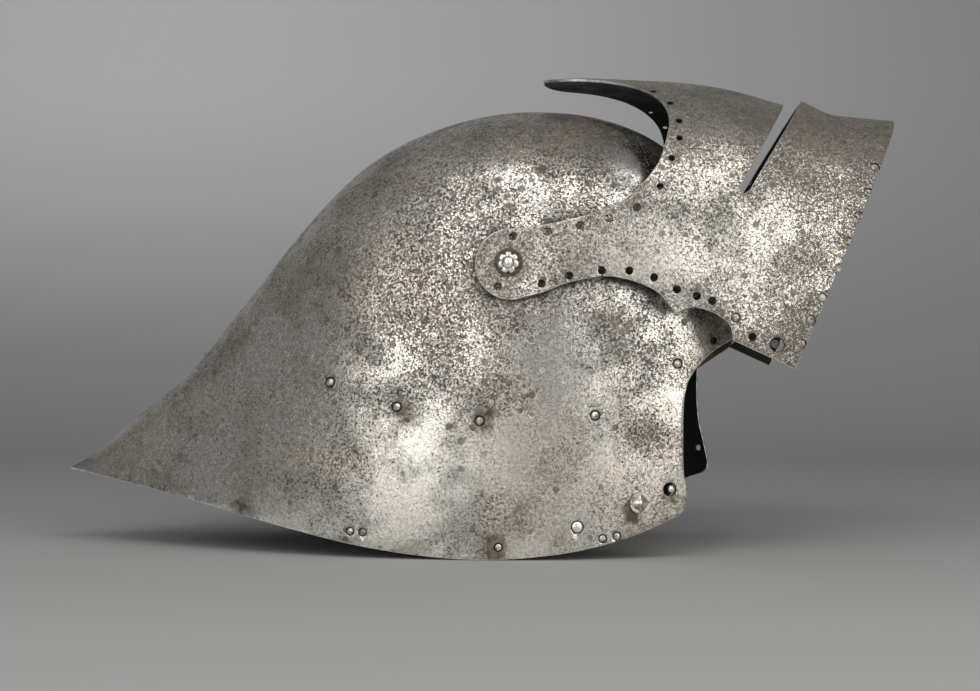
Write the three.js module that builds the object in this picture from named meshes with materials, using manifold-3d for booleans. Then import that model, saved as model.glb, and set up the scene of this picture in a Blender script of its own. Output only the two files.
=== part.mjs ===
// A visored sallet: a long-tailed steel skull with a one-piece visor that turns on two side pivots.
// Millimetres, +X forward, +Y to the wearer's left, +Z up. The rim's lowest point is at z = 0 and the
// visor is shown raised.
import * as THREE from "three";
import { mergeVertices } from "three/addons/utils/BufferGeometryUtils.js";
import Module from "manifold-3d";

const wasm = await Module();
wasm.setup();

// ---------------------------------------------------------------- driving dimensions

const skullLength = 430; // tail tip to brow, along the mid-plane
const skullHalfWidth = 101; // at the temples
const skullHeight = 257; // rim to crown
const skullPlate = 1.8; // steel thickness
const visorPlate = 1.5; // steel thickness
const touchGap = 0.3; // between pieces that lie on each other

const pivotX = 25.7; // hinge axis, along Y
const pivotZ = 163.8;
const skullPivotHalfWidth = 95.6; // flat on the skull around each pivot
const visorPivotHalfWidth = 99.6; // flat on the visor arm around each pivot
const pivotFlatRadius = 12;
const pivotFlatFade = 30; // radius at which the flat has run out into the curve
const pivotPadRadius = 9.5; // true flat under the pivot's washers
const pivotShankRadius = 2.5;
const pivotDomeRadius = 3.6;
const pivotDomeHeight = 2.8;
const rosetteRadius = 6.1;
const rosetteLobes = 7;
const rosetteThickness = 1.4;
const pivotDiscRadius = 7.8;
const pivotDiscThickness = 0.8;
const burrRadius = 7;
const burrThickness = 1;
const pivotTailHeight = 1.5; // clenched end of a pivot rivet

const slotRearTop = [183.2, 260]; // sight slot, side view: rear lip, end and front lip
const slotRearLow = [153.2, 205.4];
const slotEnd = [155.2, 202];
const slotFrontLow = [158.6, 204];
const slotFrontTop = [192, 260];
const slotLip = 5; // how far the front lip is flanged out, at the mid-plane
const slotLipReach = 26; // how far forward the flange runs out

const visorHoleRadius = 2;
const lockHoleRadius = 3.9; // in the visor
const studHoleRadius = 3.7; // in the right cheek

const frontRivetRadius = 2.1;
const rimRivetRadius = 2;
const rimStrapRivetRadius = 3.1;
const liningRivetRadius = 2.7;
const liningRivetShank = 1.5;

const springReach = 23; // from the rivet to the spring's tip
const springWidth = 9;
const springThickness = 1;
const springOverhang = 5; // spring behind its rivet
const springLean = THREE.MathUtils.degToRad(16); // how far it leans in, away from the cheek
const springPress = THREE.MathUtils.degToRad(4); // how much further it can be pressed in
const studRadius = 2.2;
const studStandOut = 1.3; // stud above the cheek
const studAhead = 0.8; // stud ahead of its hole's middle
const lockRivetShank = 1.5;
const lockRivetHalfDiagonal = 5.3;
const lockRivetHeadHeight = 3;
const lockWasherRadius = 5.9;
const lockWasherThickness = 0.8;

const bandWidth = 20;
const bandBackRow = 3; // the rib row where the band crosses the crest
const liningTail = 0.9; // clenched end of a lining rivet
const backRivetGap = 0.6; // under the rivet's ends where the crest is narrow
const bandThickness = 1.6;
const liningFullness = 22; // most that the lining fills between the head and the steel
const headHalf = new THREE.Vector3(100, 78, 113); // room for the wearer's head
const headCentre = new THREE.Vector3(45, 0, 124);

// The shapes below are drawn on a pattern of these sizes and stretched to the helmet's own.
const pattern = { length: 430, halfWidth: 101, height: 257 };
const stretch = new THREE.Vector3(
  skullLength / pattern.length,
  skullHalfWidth / pattern.halfWidth,
  skullHeight / pattern.height,
);

// ---------------------------------------------------------------- ribs of the two shells

// Each rib runs from the crest down to the rim. Its numbers are: crest x and z, rim x, half width
// and z, then the fullness of the top, the height of the side and the fullness of the side.
const skullRibs = [
  [-256, 40, -256, 1, 36, 0.6, 0.4, 0.95],
  [-232, 52.5, -237, 13, 33, 0.61, 0.46, 0.93],
  [-206, 74, -214, 28, 28, 0.62, 0.55, 0.92],
  [-169, 106, -182, 46, 21, 0.65, 0.65, 0.92],
  [-139, 142, -149, 63, 13, 0.69, 0.73, 0.94],
  [-110, 178, -116, 77, 5, 0.72, 0.8, 0.97],
  [-80, 211, -84, 88, -1, 0.75, 0.86, 1],
  [-51, 234, -56, 94.5, -5, 0.77, 0.89, 1.02],
  [-15, 249.5, -20, 99.5, -8, 0.79, 0.91, 1.03],
  [21, 257, 15, 101, -8, 0.8, 0.915, 1.035],
  [52, 257, 45, 100, -6, 0.8, 0.915, 1.035],
  [80, 252, 71, 97.5, -2, 0.8, 0.915, 1.03],
  [107.5, 240, 96, 93.5, 4, 0.79, 0.9, 1.03],
  [134, 217.5, 118, 87, 11, 0.77, 0.85, 1.03],
  [154, 189, 138, 77, 17, 0.76, 0.8, 1.03],
  [166, 155, 153, 63, 23, 0.76, 0.74, 1.02],
  [172, 118, 164, 46, 29, 0.78, 0.7, 1],
  [174, 80, 172, 24, 34, 0.8, 0.6, 1],
  [174, 42, 174, 1, 37, 0.6, 0.4, 1],
];
const visorRibs = [
  [12, 273.5, -20, 103.8, 119, 0.84, 0.6, 1],
  [57, 276.8, 30, 104, 112, 0.84, 0.6, 1],
  [92, 275.8, 64, 103.8, 106, 0.84, 0.6, 1],
  [129, 273.2, 98, 102.8, 100, 0.85, 0.6, 1],
  [157, 268, 128, 100.4, 95, 0.86, 0.6, 1],
  [183, 260.3, 156, 97.4, 90, 0.87, 0.6, 1],
  [206, 255.2, 181, 93.8, 86, 0.88, 0.6, 1],
  [228, 252.4, 204, 89.8, 82, 0.88, 0.6, 1],
  [262, 249.5, 236, 84, 76, 0.88, 0.6, 1],
];

// The rib at share u of the way along, as a smooth curve through the ribs given.
function ribAt(ribs, u) {
  const place = THREE.MathUtils.clamp(u, 0, 1) * (ribs.length - 1);
  const first = Math.min(Math.floor(place), ribs.length - 2);
  const w = place - first;
  const before = ribs[Math.max(first - 1, 0)];
  const after = ribs[Math.min(first + 2, ribs.length - 1)];
  return ribs[first].map((a, k) => {
    const b = ribs[first + 1][k];
    const slopeA = (b - before[k]) / 2;
    const slopeB = (after[k] - a) / 2;
    return (2 * a - 2 * b + slopeA + slopeB) * w ** 3
      + (3 * b - 3 * a - 2 * slopeA - slopeB) * w ** 2 + slopeA * w + a;
  });
}

// How far along a front-to-back line a point lies, seen from the side; positive is forward of it.
function aheadOf([x0, z0], [x1, z1], x, z) {
  const length = Math.hypot(x1 - x0, z1 - z0);
  return ((x - x0) * (z1 - z0) - (z - z0) * (x1 - x0)) / length;
}

// The flange along the slot's front lip: full at the mid-plane, gone at the slot's end.
function lipRise(x, z) {
  const middleLow = [(slotRearLow[0] + slotFrontLow[0]) / 2, slotRearLow[1]];
  const middleTop = [(slotRearTop[0] + slotFrontTop[0]) / 2, slotRearTop[1]];
  const ahead = aheadOf(middleLow, middleTop, x, z);
  const fade = THREE.MathUtils.smoothstep(z, slotEnd[1], slotRearTop[1]);
  const rise = THREE.MathUtils.smoothstep(ahead, -1, 2.5);
  const fall = 1 - THREE.MathUtils.smoothstep(ahead, 2.5, slotLipReach);
  return slotLip * fade * rise * fall;
}

function shares(from, to, count) {
  return Array.from({ length: count + 1 }, (_, k) => from + ((to - from) * k) / count);
}

// Every layer of a shell shares the same rows of ribs, so that the layers keep their distance.
const skullShell = {
  ribs: skullRibs,
  pivotHalfWidth: skullPivotHalfWidth,
  lip: () => 0,
  keel: 0.02,
  rows: shares(0.06, 1, 24),
  across: 11,
};
const visorShell = {
  ribs: visorRibs,
  pivotHalfWidth: visorPivotHalfWidth,
  lip: lipRise,
  keel: 0.01,
  rows: [...shares(0.03, 0.57, 8), ...shares(0.6, 0.75, 5), ...shares(0.83, 1, 2)],
  across: 11,
};

// The outer surface on the pattern: u runs tail to front, t from -1 (right rim) over the crest to 1.
function patternPoint(shell, u, t) {
  const [crestX, crestZ, rimX, rimY, rimZ, top, sideHeight, side] = ribAt(shell.ribs, u);
  const s = Math.abs(t);
  const weights = [(1 - s) ** 3, 3 * (1 - s) ** 2 * s, 3 * (1 - s) * s * s, s ** 3];
  const sum = (...values) => values.reduce((total, value, k) => total + value * weights[k], 0);
  const along = (from, to, share) => from + (to - from) * share;
  const x = sum(crestX, along(crestX, rimX, shell.keel), along(rimX, crestX, sideHeight), rimX);
  const z = sum(crestZ, along(crestZ, rimZ, shell.keel), along(rimZ, crestZ, sideHeight), rimZ);
  const half = sum(0, top * rimY, side * rimY, rimY);
  const fromPivot = Math.hypot(x - pivotX, z - pivotZ);
  const curved = THREE.MathUtils.smoothstep(fromPivot, pivotFlatRadius, pivotFlatFade);
  const flattened = half > shell.pivotHalfWidth / 2 ? along(shell.pivotHalfWidth, half, curved) : half;
  return new THREE.Vector3(x, Math.sign(t) * flattened, z);
}

function outward(shell, u, t) {
  const step = 1e-3;
  const alongU = patternPoint(shell, u + step, t).sub(patternPoint(shell, u - step, t));
  const alongT = patternPoint(shell, u, t + step).sub(patternPoint(shell, u, t - step));
  return alongU.multiply(stretch).cross(alongT.multiply(stretch)).normalize();
}

// A point of the finished surface, moved out by `offset`.
function surfacePoint(shell, u, t, offset = 0) {
  const drawn = patternPoint(shell, u, t);
  const rise = shell.lip(drawn.x, drawn.z);
  const point = drawn.multiply(stretch);
  point.addScaledVector(outward(shell, u, t), offset + rise);
  if (offset < 0 && t !== 0 && Math.sign(point.y) !== Math.sign(t)) point.y = Math.sign(t) * 0.05;
  return point;
}

// The facet of a shell's mesh at shares u and t: a point of it and its outward direction.
function facetAt(shell, u, t) {
  const { rows, across } = shell;
  const row = Math.max(rows.findIndex((share) => share > u), 1) - 1;
  const column = Math.min(Math.floor((t + 1) * across), 2 * across - 1);
  const corner = (i, j) => surfacePoint(shell, rows[row + i], (column + j) / across - 1);
  const [near, far] = [corner(0, 0), corner(1, 1)];
  const a = (u - rows[row]) / (rows[row + 1] - rows[row]);
  const b = (t + 1) * across - column;
  const third = a > b ? corner(1, 0) : corner(0, 1);
  const [toFirst, toSecond] = a > b ? [third, far] : [far, third];
  const normal = toFirst.clone().sub(near).cross(toSecond.clone().sub(near)).normalize();
  const point = near.clone().addScaledVector(third.clone().sub(near), Math.max(a, b));
  point.addScaledVector(far.clone().sub(third), Math.min(a, b));
  return { point, normal };
}

// Where a side-view place on the pattern lies on a shell.
function seatOn(shell, x, z, side) {
  let best = { u: 0.5, t: 0.5, miss: Infinity };
  const look = (u, t) => {
    const point = patternPoint(shell, u, t);
    const miss = Math.hypot(point.x - x, point.z - z);
    if (miss < best.miss) best = { u, t, miss };
  };
  for (let i = 0; i <= 60; i += 1) for (let j = 2; j <= 40; j += 1) look(i / 60, j / 40);
  for (let reach = 1 / 40; reach > 1e-6; reach *= 0.6) {
    const { u, t } = best;
    for (let angle = 0; angle < 8; angle += 1) {
      const turn = (angle * Math.PI) / 4;
      look(u + reach * Math.cos(turn), THREE.MathUtils.clamp(t + reach * Math.sin(turn), 0.01, 1));
    }
  }
  return facetAt(shell, best.u, side * best.t);
}

// ---------------------------------------------------------------- solids

function solid(geometry) {
  const bare = geometry.clone();
  bare.deleteAttribute("normal");
  bare.deleteAttribute("uv");
  const merged = mergeVertices(bare, 1e-4);
  return new wasm.Manifold(new wasm.Mesh({
    numProp: 3,
    vertProperties: merged.attributes.position.array,
    triVerts: new Uint32Array(merged.index.array),
  }));
}

function geometryOf(body) {
  const { vertProperties, triVerts } = body.getMesh();
  const geometry = new THREE.BufferGeometry();
  geometry.setAttribute("position", new THREE.Float32BufferAttribute(vertProperties, 3));
  geometry.setIndex([...triVerts]);
  return geometry;
}

// A closed solid under a surface: rows of points from the right rim over the crest to the left rim.
function domeSolid(rows) {
  const across = rows[0].length;
  const index = (i, j) => i * across + j;
  const faces = [];
  for (let i = 0; i < rows.length - 1; i += 1) {
    for (let j = 0; j < across - 1; j += 1) {
      faces.push(index(i, j), index(i + 1, j), index(i + 1, j + 1));
      faces.push(index(i, j), index(i + 1, j + 1), index(i, j + 1));
    }
    faces.push(index(i, 0), index(i, across - 1), index(i + 1, across - 1));
    faces.push(index(i, 0), index(i + 1, across - 1), index(i + 1, 0));
  }
  const last = rows.length - 1;
  for (let j = 1; j < across - 1; j += 1) {
    faces.push(index(0, 0), index(0, j), index(0, j + 1));
    faces.push(index(last, 0), index(last, j + 1), index(last, j));
  }
  const geometry = new THREE.BufferGeometry();
  geometry.setFromPoints(rows.flat());
  geometry.setIndex(faces);
  return solid(geometry);
}

// The solid inside a shell's surface moved by `offset`, its rim let down by `drop`.
function shellVolume(shell, offset, drop, rowShares = shell.rows) {
  const { across } = shell;
  const rows = rowShares.map((u) => {
    const row = [];
    for (let j = -across; j <= across; j += 1) row.push(surfacePoint(shell, u, j / across, offset));
    const rims = [row[0], row[row.length - 1]].map((rim) => rim.clone().setZ(rim.z - drop));
    return [rims[0], ...row, rims[1]];
  });
  return domeSolid(rows);
}

function outline(points) {
  return new THREE.Shape(points.map(([a, b]) => new THREE.Vector2(a, b)));
}

// A prism along Y whose side view is `shape`, drawn on the pattern.
function sidePrism(shape, fromY, toY, curveSegments = 4) {
  const options = { depth: toY - fromY, bevelEnabled: false, curveSegments };
  const geometry = new THREE.ExtrudeGeometry(shape, options);
  geometry.rotateX(Math.PI / 2).translate(0, toY, 0);
  return solid(geometry.scale(...stretch));
}

function planPrism(shape, fromZ, toZ) {
  const geometry = new THREE.ExtrudeGeometry(shape, { depth: toZ - fromZ, bevelEnabled: false });
  return solid(geometry.translate(0, 0, fromZ).scale(...stretch));
}

// Turns a geometry drawn along +Y so that +Y points along the seat's outward direction.
function onSeat(geometry, { point, normal }) {
  const turn = new THREE.Quaternion().setFromUnitVectors(new THREE.Vector3(0, 1, 0), normal);
  return geometry.applyQuaternion(turn).translate(point.x, point.y, point.z);
}

function drill(seat, radius, sides = 8, depth = 16) {
  return solid(onSeat(new THREE.CylinderGeometry(radius, radius, depth, sides), seat));
}

// Makes a shell truly flat around a pivot, with its own thickness.
function flattened(body, halfWidth, plate, sign) {
  const seat = pivotSeat(sign, halfWidth);
  const slab = (from, to) => {
    const disc = new THREE.CylinderGeometry(pivotPadRadius, pivotPadRadius, to - from, 20);
    return solid(onSeat(disc.translate(0, (from + to) / 2, 0), seat));
  };
  return body.subtract(slab(0, 10)).subtract(slab(-10, -plate)).add(slab(-plate, 0));
}

// A turned piece along +Y: its profile is a list of radius and height, from the axis to the axis.
function turned(profile, sides) {
  return new THREE.LatheGeometry(profile.map(([r, y]) => new THREE.Vector2(r, y)), sides);
}

function ring(inner, outer, from, to, sides) {
  return turned([[inner, from], [outer, from], [outer, to], [inner, to], [inner, from]], sides);
}

// A rivet from its clenched end, over its shank to its head; heights are from the plate's outer face.
function rivetGeometry({ headRadius, headHeight, shank, grip, tailRadius, tailHeight, gap = touchGap }) {
  return turned([
    [0, -grip - gap - tailHeight],
    [tailRadius * 0.7, -grip - gap - tailHeight],
    [tailRadius, -grip - gap],
    [shank, -grip - gap],
    [shank, gap],
    [headRadius, gap],
    [headRadius * 0.8, gap + headHeight * 0.65],
    [headRadius * 0.4, gap + headHeight * 0.94],
    [0, gap + headHeight],
  ], 8);
}

// ---------------------------------------------------------------- materials

function steel(color, roughness = 0.42) {
  return new THREE.MeshStandardMaterial({ color, roughness, metalness: 1 });
}
const skullSteel = steel("#a9a6a0");
const visorSteel = steel("#b3afa9", 0.46);
const brightSteel = steel("#d9d6d0", 0.28);
const darkSteel = steel("#6f6c67", 0.55);
const leather = new THREE.MeshStandardMaterial({ color: "#5b4330", roughness: 0.85, metalness: 0 });
const linen = new THREE.MeshStandardMaterial({ color: "#9c8f78", roughness: 0.95, metalness: 0 });

const helmet = new THREE.Group();

function add(name, geometry, material) {
  const mesh = new THREE.Mesh(geometry, material);
  mesh.name = name;
  helmet.add(mesh);
}

const sides = [
  { name: "right", sign: -1 },
  { name: "left", sign: 1 },
];
const pivotSeat = (sign, halfWidth) => ({
  point: new THREE.Vector3(pivotX * stretch.x, sign * halfWidth * stretch.y, pivotZ * stretch.z),
  normal: new THREE.Vector3(0, sign, 0),
});

// ---------------------------------------------------------------- places of the fasteners, side view

const liningRivetPlaces = [[119, 108], [73.4, 79.5], [9.8, 76.5], [-36.6, 84], [-75.3, 97.5]];
const rimRivetPlaces = {
  right: [[85.4, 12.8], [77.6, 11.6], [20.1, 6.9], [-55.9, 14.2], [-63.1, 14.6]],
  left: [[77.6, 11.6], [20.1, 6.9]],
};
const rimStrapRivetPlace = [63.6, 18];
const lockRivetPlace = [98.1, 31.2];
const studPlace = [114.6, 38.4];
const frontRivetPlaces = [
  [186.5, 119], [191.8, 132], [198.2, 144.3], [207.6, 160.5], [213.2, 175.2],
  [219.6, 189.9], [225.3, 203.3], [229.8, 218.3], [150.3, 133.2],
];
const visorHolePlaces = [
  [28.2, 178.3], [47.4, 180.6], [65.2, 184.2], [80.9, 188], [96.3, 194.1], [109.1, 205.9],
  [115.7, 221.9], [120.2, 233.8], [120.2, 244.1], [115.4, 255.4], [106.2, 263.6],
  [20.1, 150.5], [44.1, 152], [59.2, 156.3], [77.1, 159.2], [92.2, 159], [105.7, 155.3],
  [118.1, 148.7], [129, 145], [137.5, 142.4], [159.4, 122.7],
];
const lockHolePlace = [173.1, 118.4];

// ---------------------------------------------------------------- skull

const rimLine = [[-270, 47.5], [-223, 40.2], [-163, 29.2], [-102, 15.4], [-46, 4.5], [7, -0.15], [54, 3]];
const rimToCheek = { right: [[90, 11.4], [121.4, 24.4]], left: [[98, 14], [129, 34.4]] };
const cheekFront = {
  right: [[124.3, 31.4], [122.4, 50], [122.3, 80], [123.6, 93], [125.6, 101], [132.6, 108.6]],
  left: [[141, 38.7], [143.4, 43], [140.6, 58], [137.8, 71], [136.6, 88], [137.4, 106]],
};
const browLine = [[141, 116.2], [151, 122.3], [160, 133], [170, 147.5], [200, 153], [200, 300], [-270, 300]];

function skullKeep(side, fromY, toY) {
  const shape = new THREE.Shape();
  const vectors = (points) => points.map(([x, z]) => new THREE.Vector2(x, z));
  shape.moveTo(...rimLine[0]);
  shape.splineThru(vectors([...rimLine.slice(1), ...rimToCheek[side]]));
  vectors([...cheekFront[side], ...browLine]).forEach((point) => shape.lineTo(point.x, point.y));
  return sidePrism(shape, fromY, toY, 2);
}

function makeSkull() {
  const outer = shellVolume(skullShell, 0, 4, [0, 0.03, ...skullShell.rows]);
  const inner = shellVolume(skullShell, -skullPlate, 24);
  const keep = skullKeep("right", -150, 0.5).add(skullKeep("left", -0.5, 150));
  let body = outer.subtract(inner).intersect(keep);
  for (const { name, sign } of sides) {
    body = flattened(body, skullPivotHalfWidth, skullPlate, sign);
    body = body.subtract(drill(pivotSeat(sign, skullPivotHalfWidth), pivotShankRadius + touchGap, 16));
    for (const [x, z] of liningRivetPlaces) {
      body = body.subtract(drill(seatOn(skullShell, x, z, sign), liningRivetShank + touchGap));
    }
    for (const [x, z] of rimRivetPlaces[name]) {
      body = body.subtract(drill(seatOn(skullShell, x, z, sign), rimRivetRadius * 0.6 + touchGap));
    }
    const strap = seatOn(skullShell, ...rimStrapRivetPlace, sign);
    body = body.subtract(drill(strap, rimStrapRivetRadius * 0.5 + touchGap));
  }
  body = body.subtract(drill(backSeat, liningRivetShank + touchGap));
  body = body.subtract(drill(seatOn(skullShell, ...lockRivetPlace, -1), lockRivetShank + touchGap));
  body = body.subtract(drill(seatOn(skullShell, ...studPlace, -1), studHoleRadius, 14));
  return geometryOf(body);
}

// ---------------------------------------------------------------- visor

const visorSide = [
  [183.1, 104.9], [149, 120.8], [147, 129.2], [139, 135.6], [128.6, 138.8], [122.6, 137.9], [117.6, 135.5],
  [116.6, 138], [108.5, 146.4], [98.1, 152], [87, 155.2], [76.5, 155.9], [59.1, 152.6], [43.7, 147],
];
const armEnd = { x: 27, z: 163, radius: 19.6 };
const armTop = [[53.9, 186.3], [81.4, 194.1], [92, 200.5], [98, 206.4], [104, 213]];
const visorFrontEdge = [247.4, 250.6];
const crescent = [
  [99, 91], [108.2, 87], [113.2, 79.2], [114.7, 72], [112.1, 63.3], [106.6, 55], [98.7, 46.7],
];
const tongue = [[88.1, 38.5], [75, 32], [62, 27.5], [55, 25], [49.5, 21.5], [44.5, 15], [41.5, 6]];

function visorSideKeep() {
  const shape = outline(visorSide);
  const { x, z, radius } = armEnd;
  shape.absarc(x, z, radius, -1.2, 1.45 - 2 * Math.PI, true);
  armTop.forEach(([px, pz]) => shape.lineTo(px, pz));
  shape.lineTo(60, 258);
  shape.lineTo(30, 264);
  shape.lineTo(30, 310);
  shape.lineTo(visorFrontEdge[0] + 12, 310);
  shape.lineTo(...visorFrontEdge);
  return sidePrism(shape, -150, 150, 6);
}

function visorPlanKeep() {
  const right = [...crescent, ...tongue].map(([x, y]) => [x, -y]);
  const left = [...crescent, ...tongue].reverse();
  const rear = [[-60, 91], [-60, 150], [300, 150], [300, -150], [-60, -150], [-60, -91]];
  return planPrism(outline([...right, ...left, ...rear]), 60, 320);
}

function slotCut() {
  const above = 40;
  const rise = ([x0, z0], [x1, z1]) => [x1 + ((x1 - x0) / (z1 - z0)) * above, z1 + above];
  return sidePrism(outline([
    slotEnd, slotFrontLow, slotFrontTop, rise(slotFrontLow, slotFrontTop),
    rise(slotRearLow, slotRearTop), slotRearTop, slotRearLow,
  ]), -150, 150);
}

function makeVisor() {
  const outer = shellVolume(visorShell, 0, 4, [0, ...visorShell.rows]);
  const inner = shellVolume(visorShell, -visorPlate, 24);
  let body = outer.subtract(inner).intersect(visorSideKeep()).intersect(visorPlanKeep());
  body = body.subtract(slotCut());
  for (const { sign } of sides) {
    body = flattened(body, visorPivotHalfWidth, visorPlate, sign);
    body = body.subtract(drill(pivotSeat(sign, visorPivotHalfWidth), pivotShankRadius + touchGap, 16));
    for (const [x, z] of visorHolePlaces) {
      body = body.subtract(drill(seatOn(visorShell, x, z, sign), visorHoleRadius, 6));
    }
    for (const [x, z] of frontRivetPlaces) {
      body = body.subtract(drill(seatOn(visorShell, x, z, sign), frontRivetRadius + touchGap, 6));
    }
  }
  body = body.subtract(drill(seatOn(visorShell, ...lockHolePlace, -1), lockHoleRadius, 14));
  return geometryOf(body);
}

const backSeat = {
  point: surfacePoint(skullShell, skullShell.rows[bandBackRow], 0),
  normal: outward(skullShell, skullShell.rows[bandBackRow], 0),
};

add("skull", makeSkull(), skullSteel);
add("visor", makeVisor(), visorSteel);

// ---------------------------------------------------------------- pivots

// A flower-shaped washer: lobes round the edge, a hole in the middle, domed by a bevel.
function rosetteGeometry() {
  const shape = new THREE.Shape();
  const steps = rosetteLobes * 6;
  for (let k = 0; k < steps; k += 1) {
    const angle = (k / steps) * 2 * Math.PI;
    const radius = rosetteRadius * (0.93 + 0.07 * Math.cos(rosetteLobes * angle));
    const point = [radius * Math.cos(angle), radius * Math.sin(angle)];
    if (k === 0) shape.moveTo(...point);
    else shape.lineTo(...point);
  }
  const hole = new THREE.Path();
  hole.absarc(0, 0, pivotShankRadius + touchGap, 0, 2 * Math.PI, true);
  shape.holes.push(hole);
  const options = { depth: rosetteThickness, bevelEnabled: false, curveSegments: 6 };
  return new THREE.ExtrudeGeometry(shape, options).rotateX(-Math.PI / 2);
}

function makePivot(name, sign) {
  const bore = pivotShankRadius + touchGap;
  const skin = pivotSeat(sign, skullPivotHalfWidth);
  const outerFace = (visorPivotHalfWidth - skullPivotHalfWidth) * stretch.y;
  const discFoot = outerFace + touchGap;
  const rosetteFoot = discFoot + pivotDiscThickness + touchGap;
  const headFoot = rosetteFoot + rosetteThickness + touchGap;
  const burrTop = -skullPlate - touchGap;
  const tailTop = burrTop - burrThickness - touchGap;
  const disc = ring(bore, pivotDiscRadius, discFoot, discFoot + pivotDiscThickness, 16);
  const spacer = ring(bore, pivotDiscRadius, touchGap, outerFace - visorPlate - touchGap, 16);
  const burr = ring(bore, burrRadius, burrTop - burrThickness, burrTop, 14);
  const rosette = rosetteGeometry().translate(0, rosetteFoot, 0);
  const rivet = turned([
    [0, tailTop - pivotTailHeight], [2.6, tailTop - pivotTailHeight], [3.6, tailTop],
    [pivotShankRadius, tailTop],
    [pivotShankRadius, headFoot], [pivotDomeRadius, headFoot],
    [pivotDomeRadius * 0.87, headFoot + pivotDomeHeight * 0.5],
    [pivotDomeRadius * 0.5, headFoot + pivotDomeHeight * 0.87], [0, headFoot + pivotDomeHeight],
  ], 14);
  add(`${name}_pivot_rivet`, onSeat(rivet, skin), brightSteel);
  add(`${name}_pivot_rosette`, onSeat(rosette, skin), brightSteel);
  add(`${name}_pivot_disc`, onSeat(disc, skin), darkSteel);
  add(`${name}_pivot_spacer`, onSeat(spacer, skin), leather);
  add(`${name}_pivot_burr`, onSeat(burr, skin), darkSteel);
}
sides.forEach(({ name, sign }) => makePivot(name, sign));

// ---------------------------------------------------------------- visor catch on the right cheek

// The spring's frame: x along the cheek to the stud, y out of the steel, z across the spring.
const lockSeat = seatOn(skullShell, ...lockRivetPlace, -1);
const studSeat = seatOn(skullShell, ...studPlace, -1);
const toStud = studSeat.point.clone().sub(lockSeat.point);
const studRise = toStud.dot(lockSeat.normal);
const alongSpring = toStud.clone().addScaledVector(lockSeat.normal, -studRise).normalize();
const acrossSpring = alongSpring.clone().cross(lockSeat.normal);
const springFrame = new THREE.Matrix4()
  .makeBasis(alongSpring, lockSeat.normal, acrossSpring)
  .setPosition(lockSeat.point);
const springSwing = springOverhang * Math.sin(springLean + springPress);
const springDepth = skullPlate + touchGap + springSwing + springThickness / 2;
const springTailDepth = springDepth + springThickness / 2
  + lockRivetHalfDiagonal * 0.5 * Math.sin(springLean + springPress) + touchGap;

function makeSpring() {
  const hole = lockRivetShank + 0.6;
  const half = springWidth / 2;
  const shape = new THREE.Shape();
  shape.moveTo(-springOverhang, -half);
  shape.lineTo(springReach - half, -half);
  shape.absarc(springReach - half, 0, half, -Math.PI / 2, Math.PI / 2, false);
  shape.lineTo(-springOverhang, half);
  const opening = new THREE.Path();
  opening.absarc(0, 0, hole, 0, 2 * Math.PI, true);
  shape.holes.push(opening);
  const options = { depth: springThickness, bevelEnabled: false, curveSegments: 6 };
  return new THREE.ExtrudeGeometry(shape, options)
    .translate(0, 0, -springThickness / 2)
    .rotateX(Math.PI / 2)
    .rotateZ(-springLean)
    .translate(0, -springDepth, 0)
    .applyMatrix4(springFrame);
}

// The stud stands on the spring and comes out through the cheek's hole, ahead of the hole's middle.
function makeStud() {
  const reach = toStud.length() + studAhead;
  const springTop = springDepth - springThickness / 2 / Math.cos(springLean);
  const foot = springTop + (reach - studRadius) * Math.tan(springLean) - touchGap;
  const top = studRise + studStandOut;
  const turnedStud = turned([
    [0, -foot], [studRadius, -foot], [studRadius, top - studRadius * 0.8],
    [studRadius * 0.72, top - studRadius * 0.25], [0, top],
  ], 10);
  return turnedStud.translate(reach, 0, 0).applyMatrix4(springFrame);
}

// A four-sided pyramid on a round shank, clenched behind the spring.
function makeLockRivet() {
  const foot = lockWasherThickness + 2 * touchGap;
  const head = new THREE.CylinderGeometry(0, lockRivetHalfDiagonal, lockRivetHeadHeight, 4)
    .translate(0, foot + lockRivetHeadHeight / 2, 0);
  const shank = turned([
    [0, -springTailDepth - 1.2], [2, -springTailDepth - 1.2], [2.6, -springTailDepth],
    [lockRivetShank, -springTailDepth], [lockRivetShank, foot + 0.5], [0, foot + 0.5],
  ], 10);
  return geometryOf(solid(head).add(solid(shank))).applyMatrix4(springFrame);
}

add("lock_spring", makeSpring(), darkSteel);
add("lock_stud", makeStud(), brightSteel);
add("lock_rivet", makeLockRivet(), darkSteel);
const lockWasher = ring(lockRivetShank + touchGap, lockWasherRadius, 0, lockWasherThickness, 18);
add("lock_washer", onSeat(lockWasher.translate(0, touchGap, 0), lockSeat), skullSteel);

// ---------------------------------------------------------------- lining

function makeBand() {
  const depth = skullPlate + touchGap;
  const outer = shellVolume(skullShell, -depth, 0);
  const inner = shellVolume(skullShell, -depth - bandThickness, 8);
  const back = patternPoint(skullShell, skullShell.rows[bandBackRow], 0);
  const middle = [[150, 128], ...liningRivetPlaces, [-120, 109], [back.x - 24, back.z]];
  const half = bandWidth / 2;
  const upper = middle.map(([x, z]) => [x, z + half]);
  const lower = middle.map(([x, z]) => [x, z - half]).reverse();
  let body = outer.subtract(inner).intersect(sidePrism(outline([...upper, ...lower]), -150, 150));
  for (const { sign } of sides) {
    for (const [x, z] of liningRivetPlaces) {
      body = body.subtract(drill(seatOn(skullShell, x, z, sign), liningRivetShank + touchGap));
    }
  }
  return geometryOf(body.subtract(drill(backSeat, liningRivetShank + touchGap)));
}

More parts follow.
